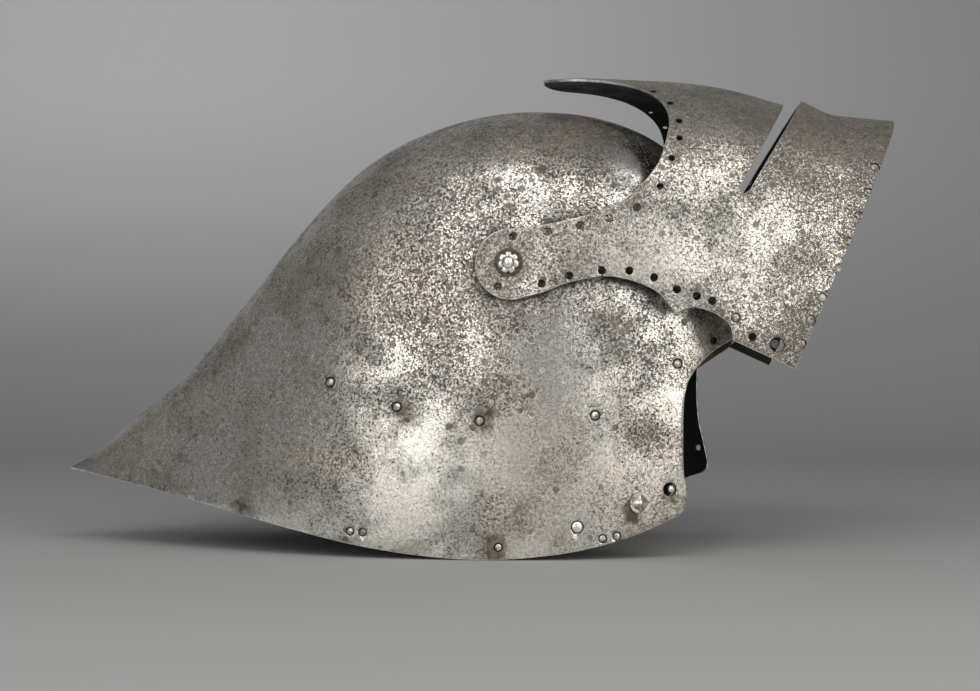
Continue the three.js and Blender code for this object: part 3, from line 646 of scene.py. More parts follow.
@dataclass(frozen=True)
class Shell:
    """A steel shell drawn by ribs that run from its crest down to its rims.

    A rib's numbers are: crest x and z, rim x, half width and z, then the fullness of the top, the height
    of the side and the fullness of the side.
    """

    ribs: tuple[tuple[float, ...], ...]
    pivot_half_width: float
    keel: float
    lip: SlotLip | None
    dents: float  # depth of the hammered unevenness, in millimetres, away from the other shell
    dent_size: float = 34  # millimetres, of the broad dents
    mark_size: float = 13  # millimetres, of the finer hammer marks on them

    def rib_at(self, u: np.ndarray) -> np.ndarray:
        """Finds the rib numbers between the ribs.

        Args:
            u: Shares of the way from the back to the front.

        Returns:
            One row of rib numbers for each share.
        """
        ribs = np.array(self.ribs, float)
        place = np.clip(u, 0, 1) * (len(ribs) - 1)
        first = np.minimum(place.astype(int), len(ribs) - 2)
        w = (place - first)[:, None]
        a, b = ribs[first], ribs[first + 1]
        slope_a = (b - ribs[np.maximum(first - 1, 0)]) / 2
        slope_b = (ribs[np.minimum(first + 2, len(ribs) - 1)] - a) / 2
        cubic = (2 * a - 2 * b + slope_a + slope_b) * w**3
        return cubic + (3 * b - 3 * a - 2 * slope_a - slope_b) * w**2 + slope_a * w + a

    def drawn(self, u: np.ndarray, t: np.ndarray) -> np.ndarray:
        """Finds places on the outer surface, as it was drawn.

        Args:
            u: Shares of the way from the back to the front.
            t: From -1, the right rim, over the crest to 1, the left rim.

        Returns:
            One row of x, y and z for each pair, in millimetres.
        """
        crest_x, crest_z, rim_x, rim_y, rim_z, top, height, side = self.rib_at(u).T
        s = np.abs(t)
        weights = np.array([(1 - s) ** 3, 3 * (1 - s) ** 2 * s, 3 * (1 - s) * s * s, s**3])

        def curve(*heights: np.ndarray) -> np.ndarray:
            """The rib's curve through four control values."""
            return (weights * np.array(np.broadcast_arrays(*heights, s)[:4])).sum(axis=0)

        upper_x, lower_x = crest_x + (rim_x - crest_x) * self.keel, rim_x + (crest_x - rim_x) * height
        upper_z, lower_z = crest_z + (rim_z - crest_z) * self.keel, rim_z + (crest_z - rim_z) * height
        x = curve(crest_x, upper_x, lower_x, rim_x)
        z = curve(crest_z, upper_z, lower_z, rim_z)
        half = curve(0 * rim_y, top * rim_y, side * rim_y, rim_y)
        curved = smoothstep(np.hypot(x - PIVOT.x, z - PIVOT.z), PIVOT.flat, PIVOT.fade)
        flat = self.pivot_half_width + (half - self.pivot_half_width) * curved
        half = np.where(half > self.pivot_half_width / 2, flat, half)
        return np.stack([x, np.sign(t) * half, z], axis=1)

    def outward(self, u: np.ndarray, t: np.ndarray) -> np.ndarray:
        """Finds the outward directions of the drawn surface.

        Args:
            u: Shares of the way from the back to the front.
            t: From rim to rim, as in drawn.

        Returns:
            One unit vector for each pair.
        """
        step = 1e-3
        along_u = self.drawn(u + step, t) - self.drawn(u - step, t)
        along_t = self.drawn(u, t + step) - self.drawn(u, t - step)
        normal = np.cross(along_u, along_t)
        return normal / np.maximum(np.linalg.norm(normal, axis=1, keepdims=True), 1e-9)

    def surface(self, u: np.ndarray, t: np.ndarray, offset: float = 0) -> np.ndarray:
        """Finds places on the finished surface, with its flange and its hammered unevenness.

        Args:
            u: Shares of the way from the back to the front.
            t: From rim to rim, as in drawn.
            offset: How far out of the surface the places lie.

        Returns:
            One row of x, y and z for each pair, in millimetres.
        """
        drawn, normal = self.drawn(u, t), self.outward(u, t)
        rise = np.full(len(u), float(offset))
        if self.lip:
            rise += self.lip.rise(drawn[:, 0], drawn[:, 2])
        near_pivot = smoothstep(np.hypot(drawn[:, 0] - PIVOT.x, drawn[:, 2] - PIVOT.z), 10, 40)
        broad = np.array([noise.noise(Vector(place) / self.dent_size) for place in drawn])
        fine = np.array([noise.noise(Vector(place) / self.mark_size) for place in drawn])
        rise += (broad + 0.35 * fine + 1) / 2 * self.dents * near_pivot
        return drawn + normal * rise[:, None]

    def seat(self, x: float, z: float, side: Side) -> Seat:
        """Finds where a place of the side view lies on the shell.

        Args:
            x: Forward place.
            z: Height.
            side: The side of the helmet.

        Returns:
            The seat.
        """
        u0, t0, reach = 0.5, 0.5, 0.5
        for _ in range(14):
            grid = np.linspace(-reach, reach, 25)
            u = np.clip(u0 + np.repeat(grid, 25), 0, 1)
            t = np.clip(t0 + np.tile(grid, 25), 0.01, 1)
            found = self.drawn(u, t)
            best = int(np.argmin(np.hypot(found[:, 0] - x, found[:, 2] - z)))
            u0, t0, reach = float(u[best]), float(t[best]), reach * 0.35
        u, t = np.array([u0]), np.array([t0 * side.value])
        return Seat(Vector(self.surface(u, t)[0]), Vector(self.outward(u, t)[0]))

    def crest_seat(self, u: float) -> Seat:
        """The place on the crest at share u."""
        shares, middle = np.array([u]), np.zeros(1)
        return Seat(Vector(self.surface(shares, middle)[0]), Vector(self.outward(shares, middle)[0]))

    def sheet(self, rows: int, columns: int, offset: float) -> bmesh.types.BMesh:
        """Draws the untrimmed outer face as a grid.

        Args:
            rows: Spans from back to front.
            columns: Spans from rim to rim, an even number.
            offset: How far out of the surface it lies.

        Returns:
            The grid, in millimetres, facing out.
        """
        bm = bmesh.new()
        bmesh.ops.create_grid(bm, x_segments=rows, y_segments=columns, size=1)
        flat = np.array([vert.co for vert in bm.verts])
        u = (flat[:, 0] + 1) / 2
        for vert, place in zip(bm.verts, self.surface(u, np.round(flat[:, 1], 9), offset), strict=True):
            vert.co = place
        return bm


SKULL = Shell(
    ribs=(
        (-256, 40, -256, 1, 36, 0.6, 0.4, 0.95),
        (-232, 52.5, -237, 13, 33, 0.61, 0.46, 0.93),
        (-206, 74, -214, 28, 28, 0.62, 0.55, 0.92),
        (-169, 106, -182, 46, 21, 0.65, 0.65, 0.92),
        (-139, 142, -149, 63, 13, 0.69, 0.73, 0.94),
        (-110, 178, -116, 77, 5, 0.72, 0.8, 0.97),
        (-80, 211, -84, 88, -1, 0.75, 0.86, 1),
        (-51, 234, -56, 94.5, -5, 0.77, 0.89, 1.02),
        (-15, 249.5, -20, 99.5, -8, 0.79, 0.91, 1.03),
        (21, 257, 15, 101, -8, 0.8, 0.915, 1.035),
        (52, 257, 45, 100, -6, 0.8, 0.915, 1.035),
        (80, 252, 71, 97.5, -2, 0.8, 0.915, 1.03),
        (107.5, 240, 96, 93.5, 4, 0.79, 0.9, 1.03),
        (134, 217.5, 118, 87, 11, 0.77, 0.85, 1.03),
        (154, 189, 138, 77, 17, 0.76, 0.8, 1.03),
        (166, 155, 153, 63, 23, 0.76, 0.74, 1.02),
        (172, 118, 164, 46, 29, 0.78, 0.7, 1),
        (174, 80, 172, 24, 34, 0.8, 0.6, 1),
        (174, 42, 174, 1, 37, 0.6, 0.4, 1),
    ),
    pivot_half_width=PIVOT.skull_half_width,
    keel=0.02,
    lip=None,
    dents=-0.2,
)
VISOR = Shell(
    ribs=(
        (12, 273.5, -20, 103.8, 119, 0.84, 0.6, 1),
        (57, 276.8, 30, 104, 112, 0.84, 0.6, 1),
        (92, 275.8, 64, 103.8, 106, 0.84, 0.6, 1),
        (129, 273.2, 98, 102.8, 100, 0.85, 0.6, 1),
        (157, 268, 128, 100.4, 95, 0.86, 0.6, 1),
        (183, 260.3, 156, 97.4, 90, 0.87, 0.6, 1),
        (206, 255.2, 181, 93.8, 86, 0.88, 0.6, 1),
        (228, 252.4, 204, 89.8, 82, 0.88, 0.6, 1),
        (262, 249.5, 236, 84, 76, 0.88, 0.6, 1),
    ),
    pivot_half_width=PIVOT.visor_half_width,
    keel=0.01,
    lip=SlotLip(),
    dents=0.3,
)


def prism(outline: Sequence[Point2], low: float, high: float, plan: bool = False) -> bpy.types.Object:
    """A block with the given outline, to cut a shell with.

    Args:
        outline: Its corners, in the side view (x, z), or in the plan (x, y).
        low: Where it begins, along Y, or along Z for a plan.
        high: Where it ends.
        plan: True if the outline is seen from above.

    Returns:
        The block as an object.
    """
    bm = bmesh.new()
    places = [(a, b, low) if plan else (a, low, b) for a, b in outline]
    base = bm.faces.new([bm.verts.new(place) for place in places])
    grown = bmesh.ops.extrude_face_region(bm, geom=[base])["geom"]
    shift = (0, 0, high - low) if plan else (0, high - low, 0)
    moved = [part for part in grown if isinstance(part, bmesh.types.BMVert)]
    bmesh.ops.translate(bm, vec=shift, verts=moved)
    return cutter(bm, "block")


def drills(holes: Sequence[tuple[Seat, float]]) -> bpy.types.Object:
    """Makes all the drilled holes of a shell as one object to cut with.

    Args:
        holes: Seat and radius of each hole.

    Returns:
        The cutting object.
    """
    bm = bmesh.new()
    for seat, radius in holes:
        bmesh.ops.create_cone(
            bm,
            cap_ends=True,
            segments=20,
            radius1=radius,
            radius2=radius,
            depth=DRILL_DEPTH,
            matrix=seat.matrix,
        )
    return cutter(bm, "drills")


def cutter(bm: bmesh.types.BMesh, name: str) -> bpy.types.Object:
    """Makes a cutting object, whose faces have material 1, so that what it cuts can be told apart.

    Args:
        bm: Its mesh, in millimetres. It is freed.
        name: Its name.

    Returns:
        The cutting object.
    """
    for face in bm.faces:
        face.material_index = 1
    piece = clean_mesh(bm, name)
    add_trim_slots(piece)
    return piece


def add_trim_slots(piece: bpy.types.Object) -> None:
    """Adds the helper materials that tell an outer face, 0, from what a block has cut, 1."""
    for label in ("skin", "cut"):
        piece.data.materials.append(bpy.data.materials.get(label) or bpy.data.materials.new(label))


@dataclass
class Plate:
    """A trimmed plate of a shell, with its thickness and its rounded edges."""

    shell: Shell
    thickness: float
    keep: list[bpy.types.Object]  # blocks that the plate stays inside
    cut: list[bpy.types.Object]  # blocks taken out of it
    rows: int = 200
    columns: int = 144
    offset: float = 0
    edge_round: float = 0.3
    skin: float = 0.15  # thickness while it is being cut
    join: float = 0.12  # vertices nearer than this are joined
    near: float = 0.45  # stray corners nearer an edge than this are pulled onto it

    def make(self, name: str) -> bpy.types.Object:
        """Builds the plate.

        Args:
            name: The piece's name.

        Returns:
            The plate, with material 0 outside, 1 on its edges and 2 inside.
        """
        bm = self.shell.sheet(self.rows, self.columns, self.offset)
        skin = list(bm.faces)
        bmesh.ops.solidify(bm, geom=skin, thickness=self.skin)
        for face in bm.faces:
            face.material_index = 1
        for face in skin:
            face.material_index = 0
        bm.normal_update()
        piece = raw_mesh(bm, name)
        add_trim_slots(piece)
        for operation, blocks in (("INTERSECT", self.keep), ("DIFFERENCE", self.cut)):
            for block in blocks:
                trim = piece.modifiers.new(operation, "BOOLEAN")
                trim.operation, trim.object, trim.solver = operation, block, "MANIFOLD"
        apply_modifiers(piece)
        discard(*self.keep, *self.cut)
        self.tidy_outline(piece)
        self.thicken(piece)
        return piece

    def tidy_outline(self, piece: bpy.types.Object) -> None:
        """Keeps only the outer face and pulls stray corners onto its edges.

        Args:
            piece: The trimmed skin.
        """
        bm = bmesh.new()
        bm.from_mesh(piece.data)
        extra = [face for face in bm.faces if face.material_index != 0]
        bmesh.ops.delete(bm, geom=extra, context="FACES")
        bmesh.ops.remove_doubles(bm, verts=bm.verts, dist=self.join * MM)
        rim = [vert for vert in bm.verts if vert.is_boundary]
        targets = {}
        for vert in rim:
            for edge in vert.link_edges:
                other = edge.other_vert(vert)
                if not other.is_boundary and edge.calc_length() < self.near * MM:
                    targets[other] = vert
        bmesh.ops.weld_verts(bm, targetmap=targets)
        bmesh.ops.dissolve_degenerate(bm, edges=bm.edges, dist=0.02 * MM)
        loose = [vert for vert in bm.verts if not vert.link_faces]
        bmesh.ops.delete(bm, geom=loose, context="VERTS")
        bm.to_mesh(piece.data)
        bm.free()

    def thicken(self, piece: bpy.types.Object) -> None:
        """Gives the plate its thickness and rounds its edges.

        Args:
            piece: The outer face.
        """
        wall = piece.modifiers.new("plate", "SOLIDIFY")
        wall.thickness, wall.offset, wall.use_even_offset = self.thickness * MM, -1, False
        wall.use_quality_normals = True
        wall.material_offset, wall.material_offset_rim = 2, 1
        piece.data.materials.append(None)
        if self.edge_round:
            soft = piece.modifiers.new("edge", "BEVEL")
            soft.width, soft.segments, soft.limit_method = self.edge_round * MM, 2, "ANGLE"
            soft.angle_limit, soft.use_clamp_overlap, soft.material = math.radians(55), False, 1
        apply_modifiers(piece)


def shade_hole_walls(
    piece: bpy.types.Object, holes: Sequence[tuple[Seat, float]], reach: float = 1.2
) -> None:
    """Gives the walls of drilled holes the inner face's near-black finish: partly dirt, partly painted shade
    inside each hole.

    Args:
        piece: The plate.
        holes: Seat and radius of each hole.
        reach: How far past its radius a hole's wall may lie, in millimetres.
    """
    mesh = piece.data
    for polygon in mesh.polygons:
        if polygon.material_index == 1:
            centre = polygon.center / MM
            if any((centre - seat.point).length < radius + reach for seat, radius in holes):
                # Near-black walls: partly dirt, partly painted shade inside the hole.
                polygon.material_index = 2


def set_attribute(piece: bpy.types.Object, name: str, rule: Callable[[np.ndarray], np.ndarray]) -> None:
    """Stores a number on each vertex.

    Args:
        piece: The piece.
        name: The attribute's name.
        rule: Turns the vertices' places, in millimetres, into their numbers.
    """
    places = np.empty(len(piece.data.vertices) * 3, np.float32)
    piece.data.vertices.foreach_get("co", places)
    values = rule(places.reshape(-1, 3) / MM)
    made = piece.data.attributes.new(name, "FLOAT", "POINT")
    made.data.foreach_set("value", values.astype(np.float32))


@dataclass(frozen=True)
class Patch:
    """A soft round patch of the side view, on one side of the helmet or on both."""

    x: float
    z: float
    radius: float
    amount: float
    side: Side | None = None

    def at(self, places: np.ndarray) -> np.ndarray:
        """Finds how strong the patch is.

        Args:
            places: One row of x, y and z for each place, in millimetres.

        Returns:
            Its strength at each place.
        """
        distance = np.hypot(places[:, 0] - self.x, places[:, 2] - self.z)
        value = self.amount * (1 - smoothstep(distance, self.radius * 0.25, self.radius))
        if self.side:
            value = value * (places[:, 1] * self.side.value > 0)
        return value


# ------------------------------------------------------------------ turned pieces


def turned(profile: Sequence[Point2], name: str, seat: Seat, steps: int = 32) -> bpy.types.Object:
    """A turned piece whose axis stands on a seat.

    Args:
        profile: Radius and height of each corner, from the axis to the axis, or closed for a ring.
        name: The piece's name.
        seat: Where it stands.
        steps: Sides of the full turn.

    Returns:
        The piece.
    """
    bm = bmesh.new()
    verts = [bm.verts.new((radius, 0, height)) for radius, height in profile]
    edges = [bm.edges.new(pair) for pair in zip(verts, verts[1:], strict=False)]
    if profile[0][0] > 0:
        edges.append(bm.edges.new((verts[-1], verts[0])))
    bmesh.ops.spin(
        bm,
        geom=[*verts, *edges],
        cent=(0, 0, 0),
        axis=(0, 0, 1),
        angle=math.tau,
        steps=steps,
        use_merge=True,
    )
    bmesh.ops.remove_doubles(bm, verts=bm.verts, dist=0.005)
    bmesh.ops.transform(bm, matrix=seat.matrix, verts=bm.verts)
    piece = clean_mesh(bm, name, 0.002)
    shade(piece)
    return piece


def dome(radius: float, height: float, foot: float, roll: float = 0.25, steps: int = 7) -> list[Point2]:
    """Draws the profile of a domed head, from the edge of its foot up to the axis.

    Args:
        radius: Its radius.
        height: How far it stands above its foot.
        foot: The height of its foot.
        roll: How far its edge is rolled under.
        steps: Short lines along the dome.

    Returns:
        Radius and height of each corner.
    """
    points = [(radius - roll * 0.5, foot), (radius, foot + roll * 0.4)]
    for k in range(1, steps + 1):
        angle = k / steps * math.pi / 2
        points.append((radius * math.cos(angle), foot + roll * 0.4 + (height - roll * 0.4) * math.sin(angle)))
    return [(max(r, 0.0), h) for r, h in points]


def ring(inner: float, outer: float, low: float, high: float, soft: float = 0.15) -> list[Point2]:
    """Draws the closed profile of a washer with softened corners.

    Args:
        inner: The radius of its hole.
        outer: Its radius.
        low: The height of its lower face.
        high: The height of its upper face.
        soft: How far its corners are taken off.

    Returns:
        Radius and height of each corner.
    """
    return [
        (inner, low),
        (outer - soft, low),
        (outer, low + soft),
        (outer, high - soft),
        (outer - soft, high),
        (inner + soft, high),
        (inner, high - soft),
    ]


# ------------------------------------------------------------------ the skull


@dataclass
class Skull:
    """The long-tailed bowl, its fasteners and the visor's catch."""

    finishes: Finishes
    plate: float = SKULL_PLATE
    rim_rivets: dict[Side, tuple[Point2, ...]] = field(
        default_factory=lambda: {
            Side.RIGHT: ((85.4, 12.8), (77.6, 11.6), (20.1, 6.9), (-55.9, 14.2), (-63.1, 14.6)),
            Side.LEFT: ((77.6, 11.6), (20.1, 6.9)),
        }
    )
    strap_rivet: Point2 = (63.6, 18)
    lining_rivets: tuple[Point2, ...] = (
        (119, 108),
        (73.4, 79.5),
        (9.8, 76.5),
        (-36.6, 84),
        (-75.3, 97.5),
    )
    back_share: float = 0.1775  # of the way along the crest, from the back
    lock_rivet: Point2 = (98.1, 31.2)
    stud: Point2 = (114.6, 38.4)
    stud_hole: float = 3.7
    brow_hole: Point2 = (139.5, 120.7)
    cheek_hole: Point2 = (137.4, 53)
    plain_hole: float = 1.9
    rim_hole: float = 2.3  # the holes are radii, and a little wider than what sits in them
    lining_hole: float = 2.75
    strap_hole: float = 3.4
    washer_bore: float = 1.8
    washer_radius: float = 5.9
    washer_thickness: float = 0.8
    pyramid_corner: float = 5.6  # from the middle of its foot to a corner
    pyramid_height: float = 3.0
    catch_shank: float = 1.4
    spring_width: float = 9
    spring_reach: float = 23
    spring_overhang: float = 5  # behind the rivet
    spring_thickness: float = 1
    spring_hole: float = 2.1
    spring_lean: float = 16  # degrees away from the cheek
    spring_depth: float = 4.31  # under the steel's outer face, at the rivet

    def outline(self, side: Side) -> list[Point2]:
        """Draws the side view of one half, with its rim, cheek and brow.

        Args:
            side: Which half.

        Returns:
            The corners of the outline.
        """
        rim = [(-270, 47.5), (-223, 40.2), (-163, 29.2), (-102, 15.4), (-46, 4.5), (7, -0.15), (54, 3)]
        if side is Side.RIGHT:
            rim += [(90, 11.4), (118, 22.9)]
            corner = [(121.8, 25.6), (124, 30)]
            cheek = [(124.4, 38), (122.4, 50), (122.3, 80), (123.6, 93), (126.6, 101), (132.6, 108.6)]
        else:
            rim += [(98, 14), (126, 32.2)]
            corner = [(134, 35.2), (139.5, 37), (142.8, 40)]
            cheek = [(143.4, 45), (140.6, 58), (137.8, 71), (136.6, 88), (137.4, 106)]
        brow = [(141, 116.2), (151, 122.3), (160, 133), (170, 147.5)]
        top = [(200, 153), (200, 300), (-270, 300)]
        return [*smooth_line(rim), *corner, *smooth_line(cheek + brow), *top]

    def build(self, arm_line: Sequence[Point2], under_holes: Sequence[Point2]) -> None:
        """Builds the bowl and everything fastened to it but the pivots.

        Args:
            arm_line: The outline of the raised visor's arms in the side view.
            under_holes: The places under the holes of those arms, where damp has got in.
        """
        keep = self.kept_block()
        plate = Plate(SKULL, self.plate, [keep], [drills(self.holes())]).make("skull_plate")
        shade_hole_walls(plate, self.holes())
        # Rust has bitten deepest over the crown and behind it, and least along the rim.
        corrosion = (
            Patch(20, 215, 95, 0.42),
            Patch(-40, 170, 80, 0.4),
            Patch(-150, 90, 120, 0.22),
            Patch(8, 130, 60, 0.3, Side.RIGHT),
            Patch(70, 155, 60, 0.3),
            Patch(10, 50, 60, -0.05),
            Patch(-30, 112, 55, 0.22),
            Patch(115, 120, 45, 0.22),
            Patch(103, 70, 16, 0.35, Side.RIGHT),
        )
        # Damp has stayed under the arms' holes, around the rivets, and at the tail's tip.
        dark_patches = (
            *(Patch(x, z, 3.4, 0.75) for x, z in under_holes),
            Patch(103.6, 70, 9, 0.5, Side.RIGHT),
            Patch(18.5, 6.7, 13, 0.75, Side.RIGHT),
            Patch(-128.4, 27.4, 13, 0.6, Side.RIGHT),
            Patch(-250, 45, 80, 0.3),
            Patch(42.5, 216.4, 7, 0.6, Side.RIGHT),
            Patch(-33, 81.2, 13, 0.55, Side.RIGHT),
            Patch(12, 77.5, 15, 0.6, Side.RIGHT),
            Patch(32.2, 33.1, 8, 0.45, Side.RIGHT),
            Patch(31.1, 19.3, 9, 0.5, Side.RIGHT),
            Patch(55.8, 12.2, 7, 0.5, Side.RIGHT),
            Patch(93.7, 25.8, 11, 0.8, Side.RIGHT),
            Patch(115.5, 34, 9, 0.6, Side.RIGHT),
            Patch(-30, 160, 12, 0.35),
            Patch(141, 124, 20, 0.5),
            Patch(-50, 213, 26, 0.3),
            Patch(62, 16, 6, 0.2),
        )
        set_attribute(plate, "corrosion", lambda p: 0.42 + sum(patch.at(p) for patch in corrosion))
        traced = np.array(arm_line)

        def line_distance(places: np.ndarray) -> np.ndarray:
            """Finds how far each place is from the outline of the raised visor's arms.

            Args:
                places: One row of x, y and z for each place, in millimetres.

            Returns:
                Each distance in the side view, 99 at most.
            """
            distance = np.full(len(places), 99.0)
            for point in traced:
                np.minimum(distance, np.hypot(*(places[:, (0, 2)] - point).T), out=distance)
            return distance

        def stain_and_shade(places: np.ndarray) -> np.ndarray:
            """Adds up the staining and a painted shadow along the outline of the raised visor's arms.

            Args:
                places: One row of x, y and z for each place, in millimetres.

            Returns:
                How stained and painted with shade each place is, from 0 to 1.
            """
            amount = sum(patch.at(places) for patch in dark_patches)
            distance = line_distance(places)
            # The painted shadow: a fainter, wider band along the arms' outline.
            return np.clip(amount + 0.3 * (1 - smoothstep(distance, 0.8, 4)), 0, 1)

        set_attribute(plate, "stain_and_shade", stain_and_shade)
        # A dark painted shadow along the outline of the raised visor's arms, which stays on the skull in every
        # pose.
        set_attribute(plate, "arm_shadow_mask", lambda p: 0.85 * (1 - smoothstep(line_distance(p), 0.7, 1.9)))
        shade(plate, 48)
        steel = self.finishes
        place_piece(plate, "skull", "skull_steel", ["skull"], steel.skull, steel.edge, steel.inside)
        self.build_rivets()
        self.build_catch()

    def kept_block(self) -> bpy.types.Object:
        """Joins the two halves' side views into one block.

        Returns:
            The block that the bowl stays inside.
        """
        right = prism(self.outline(Side.RIGHT), -BLOCK_HALF, 0.05)
        left = prism(self.outline(Side.LEFT), 0, BLOCK_HALF)
        union = right.modifiers.new("join", "BOOLEAN")
        union.operation, union.object, union.solver = "UNION", left, "MANIFOLD"
        apply_modifiers(right)
        discard(left)
        return right

    def holes(self) -> list[tuple[Seat, float]]:
        """Lists every hole of the bowl that can be seen.

        Returns:
            Seat and radius of each hole.
        """
        holes = [(SKULL.seat(*self.stud, Side.RIGHT), self.stud_hole)]
        holes += [(SKULL.seat(*self.brow_hole, Side.RIGHT), self.plain_hole)]
        holes += [(SKULL.seat(*self.cheek_hole, Side.LEFT), self.plain_hole)]
        for side in Side:
            holes += [(SKULL.seat(x, z, side), self.rim_hole) for x, z in self.rim_rivets[side]]
            holes += [(SKULL.seat(x, z, side), self.lining_hole) for x, z in self.lining_rivets]
            holes += [(SKULL.seat(*self.strap_rivet, side), self.strap_hole)]
            holes += [(PIVOT.seat(side, PIVOT.skull_half_width), PIVOT_HOLE)]
        return holes

    def build_rivets(self) -> None:
        """Builds the lining, rim and strap rivets."""
        steel = self.finishes
        band = 2 * TOUCH_GAP + BAND_LEATHER
        for side in Side:
            for k, (x, z) in enumerate(self.lining_rivets, 1):
                name = f"{side.label}_lining_rivet_{k}"
                piece = self.rivet(name, SKULL.seat(x, z, side), 2.4, 1.2, 1.5, band)
                place_piece(piece, "skull", "dark_steel", [name], steel.rivet)
            for k, (x, z) in enumerate(self.rim_rivets[side], 1):
                name = f"{side.label}_rim_rivet_{k}"
                piece = self.rivet(name, SKULL.seat(x, z, side), 1.9, 0.45, 1)
                place_piece(piece, "skull", "dark_steel", [name], steel.rivet)
            name = f"{side.label}_strap_rivet"
            piece = self.rivet(name, SKULL.seat(*self.strap_rivet, side), 3, 0.55, 1.6)
            place_piece(piece, "skull", "bright_steel", [name], steel.edge)
        back = self.rivet("back_lining_rivet", SKULL.crest_seat(self.back_share), 2.7, 1.5, 1.5, band + 0.3)
        place_piece(back, "skull", "dark_steel", ["back_lining_rivet"], steel.rivet)

    def rivet(
        self, node: str, seat: Seat, radius: float, height: float, shank: float, under: float = 0
    ) -> bpy.types.Object:
        """Makes a rivet with its head bedded in its hole and its end clenched over.

        Args:
            node: The node it stands for.
            seat: Where its head sits.
            radius: Radius of its head.
            height: How far its head stands out.
            shank: Radius of its shank.
            under: Thickness of what it also holds, under the plate.

        Returns:
            The rivet.
        """
        tail = -self.plate - under - TOUCH_GAP
        profile = [(0, tail - 0.9), (radius * 0.55, tail - 0.8), (radius * 0.85, tail - 0.35)]
        profile += [(radius * 0.88, tail), (shank, tail), (shank, -0.5), (radius * 0.9, -0.45)]
        return turned([*profile, *dome(radius, height + 0.3, -0.3)], node + "_worn", seat)

    @cached_property
    def catch_frame(self) -> tuple[Seat, Vector, Vector]:
        """Finds how the catch lies on the cheek.

        Returns:
            The catch rivet's seat, the direction along its spring, and the way to the stud's hole.
        """
        seat = SKULL.seat(*self.lock_rivet, Side.RIGHT)
        to_stud = SKULL.seat(*self.stud, Side.RIGHT).point - seat.point
        along = (to_stud - seat.normal * to_stud.dot(seat.normal)).normalized()
        return seat, along, to_stud

    def build_catch(self) -> None:
        """Builds the catch: its stud, its washer, its pyramid-headed rivet and its spring."""
        steel = self.finishes
        seat, along, to_stud = self.catch_frame
        level = Vector((1, 0, 0.05))
        level = (level - seat.normal * level.dot(seat.normal)).normalized()
        turn = Matrix((level, seat.normal.cross(level), seat.normal)).transposed().to_4x4()
        rise = to_stud.dot(seat.normal)
        stud_seat = Seat(seat.point + along * (to_stud.length + 0.8) + seat.normal * rise, seat.normal)
        ball = [(0, -9.2), (2.1, -9.2), (2.1, -3.2), (1.5, -2.2), (1.6, -1.8)]
        ball += [(2.2 * math.cos(a), -0.35 + 2.1 * math.sin(a)) for a in np.radians(range(-30, 90, 15))]
        stud = turned([*ball, (0, 1.75)], "catch_stud", stud_seat)
        place_piece(stud, "lock_spring", "bright_steel", ["lock_stud"], steel.bright)

        washer = turned(
            ring(self.washer_bore, self.washer_radius, TOUCH_GAP, TOUCH_GAP + self.washer_thickness, 0.2),
            "catch_washer",
            seat,
        )
        place_piece(washer, "skull", "skull_steel", ["lock_washer"], steel.rivet)

        bm = bmesh.new()
        foot, height = TOUCH_GAP * 2 + self.washer_thickness, self.pyramid_height
        bmesh.ops.create_cone(
            bm,
            cap_ends=True,
            segments=4,
            radius1=self.pyramid_corner,
            radius2=0.3,
            depth=height,
        )
        bmesh.ops.bevel(
            bm,
            geom=list(bm.edges),
            offset=0.1,
            offset_type="OFFSET",
            segments=2,
            profile=0.5,
            affect="EDGES",
            material=-1,
        )
        bmesh.ops.translate(bm, vec=(0, 0, foot + height / 2), verts=bm.verts)
        bmesh.ops.transform(bm, matrix=Matrix.Translation(seat.point) @ turn, verts=bm.verts)
        head = clean_mesh(bm, "catch_rivet_head")
        shade(head, 25)
        tail = -self.plate - 4.8
        post_top = foot + 0.4
        shank = [(0, tail - 1.2), (1.8, tail - 1.1), (2.5, tail - 0.4), (2.6, tail)]
        shank += [(self.catch_shank, tail), (self.catch_shank, post_top), (0, post_top)]
        post = turned(shank, "catch_rivet_shank", seat)
        place_piece(head, "skull", "dark_steel", ["lock_rivet"], steel.rivet)
        place_piece(post, "skull", "dark_steel", ["lock_rivet"], steel.dark)
        self.build_spring()

    def build_spring(self) -> None:
        """Builds the leaf spring that carries the stud, with its hole for the rivet's shank."""
        seat, along, _ = self.catch_frame
        half = self.spring_width / 2
        tip = self.spring_reach - half
        turn = np.linspace(-math.pi / 2, math.pi / 2, 17)
        outline = [(-self.spring_overhang, -half)]
        outline += [(tip + half * math.cos(a), half * math.sin(a)) for a in turn]
        outline += [(-self.spring_overhang, half)]
        spring = prism(outline, -self.spring_thickness / 2, self.spring_thickness / 2, plan=True)
        spring.name = spring.data.name = "catch_leaf_spring"
        bore = drills([(Seat(Vector(), Vector((0, 0, 1))), self.spring_hole)])
        cut = spring.modifiers.new("hole", "BOOLEAN")
        cut.operation, cut.object, cut.solver = "DIFFERENCE", bore, "MANIFOLD"
        soft = spring.modifiers.new("edge", "BEVEL")
        soft.width, soft.segments, soft.limit_method = 0.15 * MM, 2, "ANGLE"
        apply_modifiers(spring)
        discard(bore)
        lean = math.radians(self.spring_lean)
        ahead = along * math.cos(lean) - seat.normal * math.sin(lean)
        out = seat.normal * math.cos(lean) + along * math.sin(lean)
        place = Matrix((ahead, out.cross(ahead), out)).transposed().to_4x4()
        place.translation = (seat.point - seat.normal * self.spring_depth) * MM
        spring.data.transform(place)
        shade(spring, 30)
        dark = self.finishes.dark
        place_piece(spring, "lock_spring", "dark_steel", ["lock_spring"], dark, dark)


# ------------------------------------------------------------------ the visor


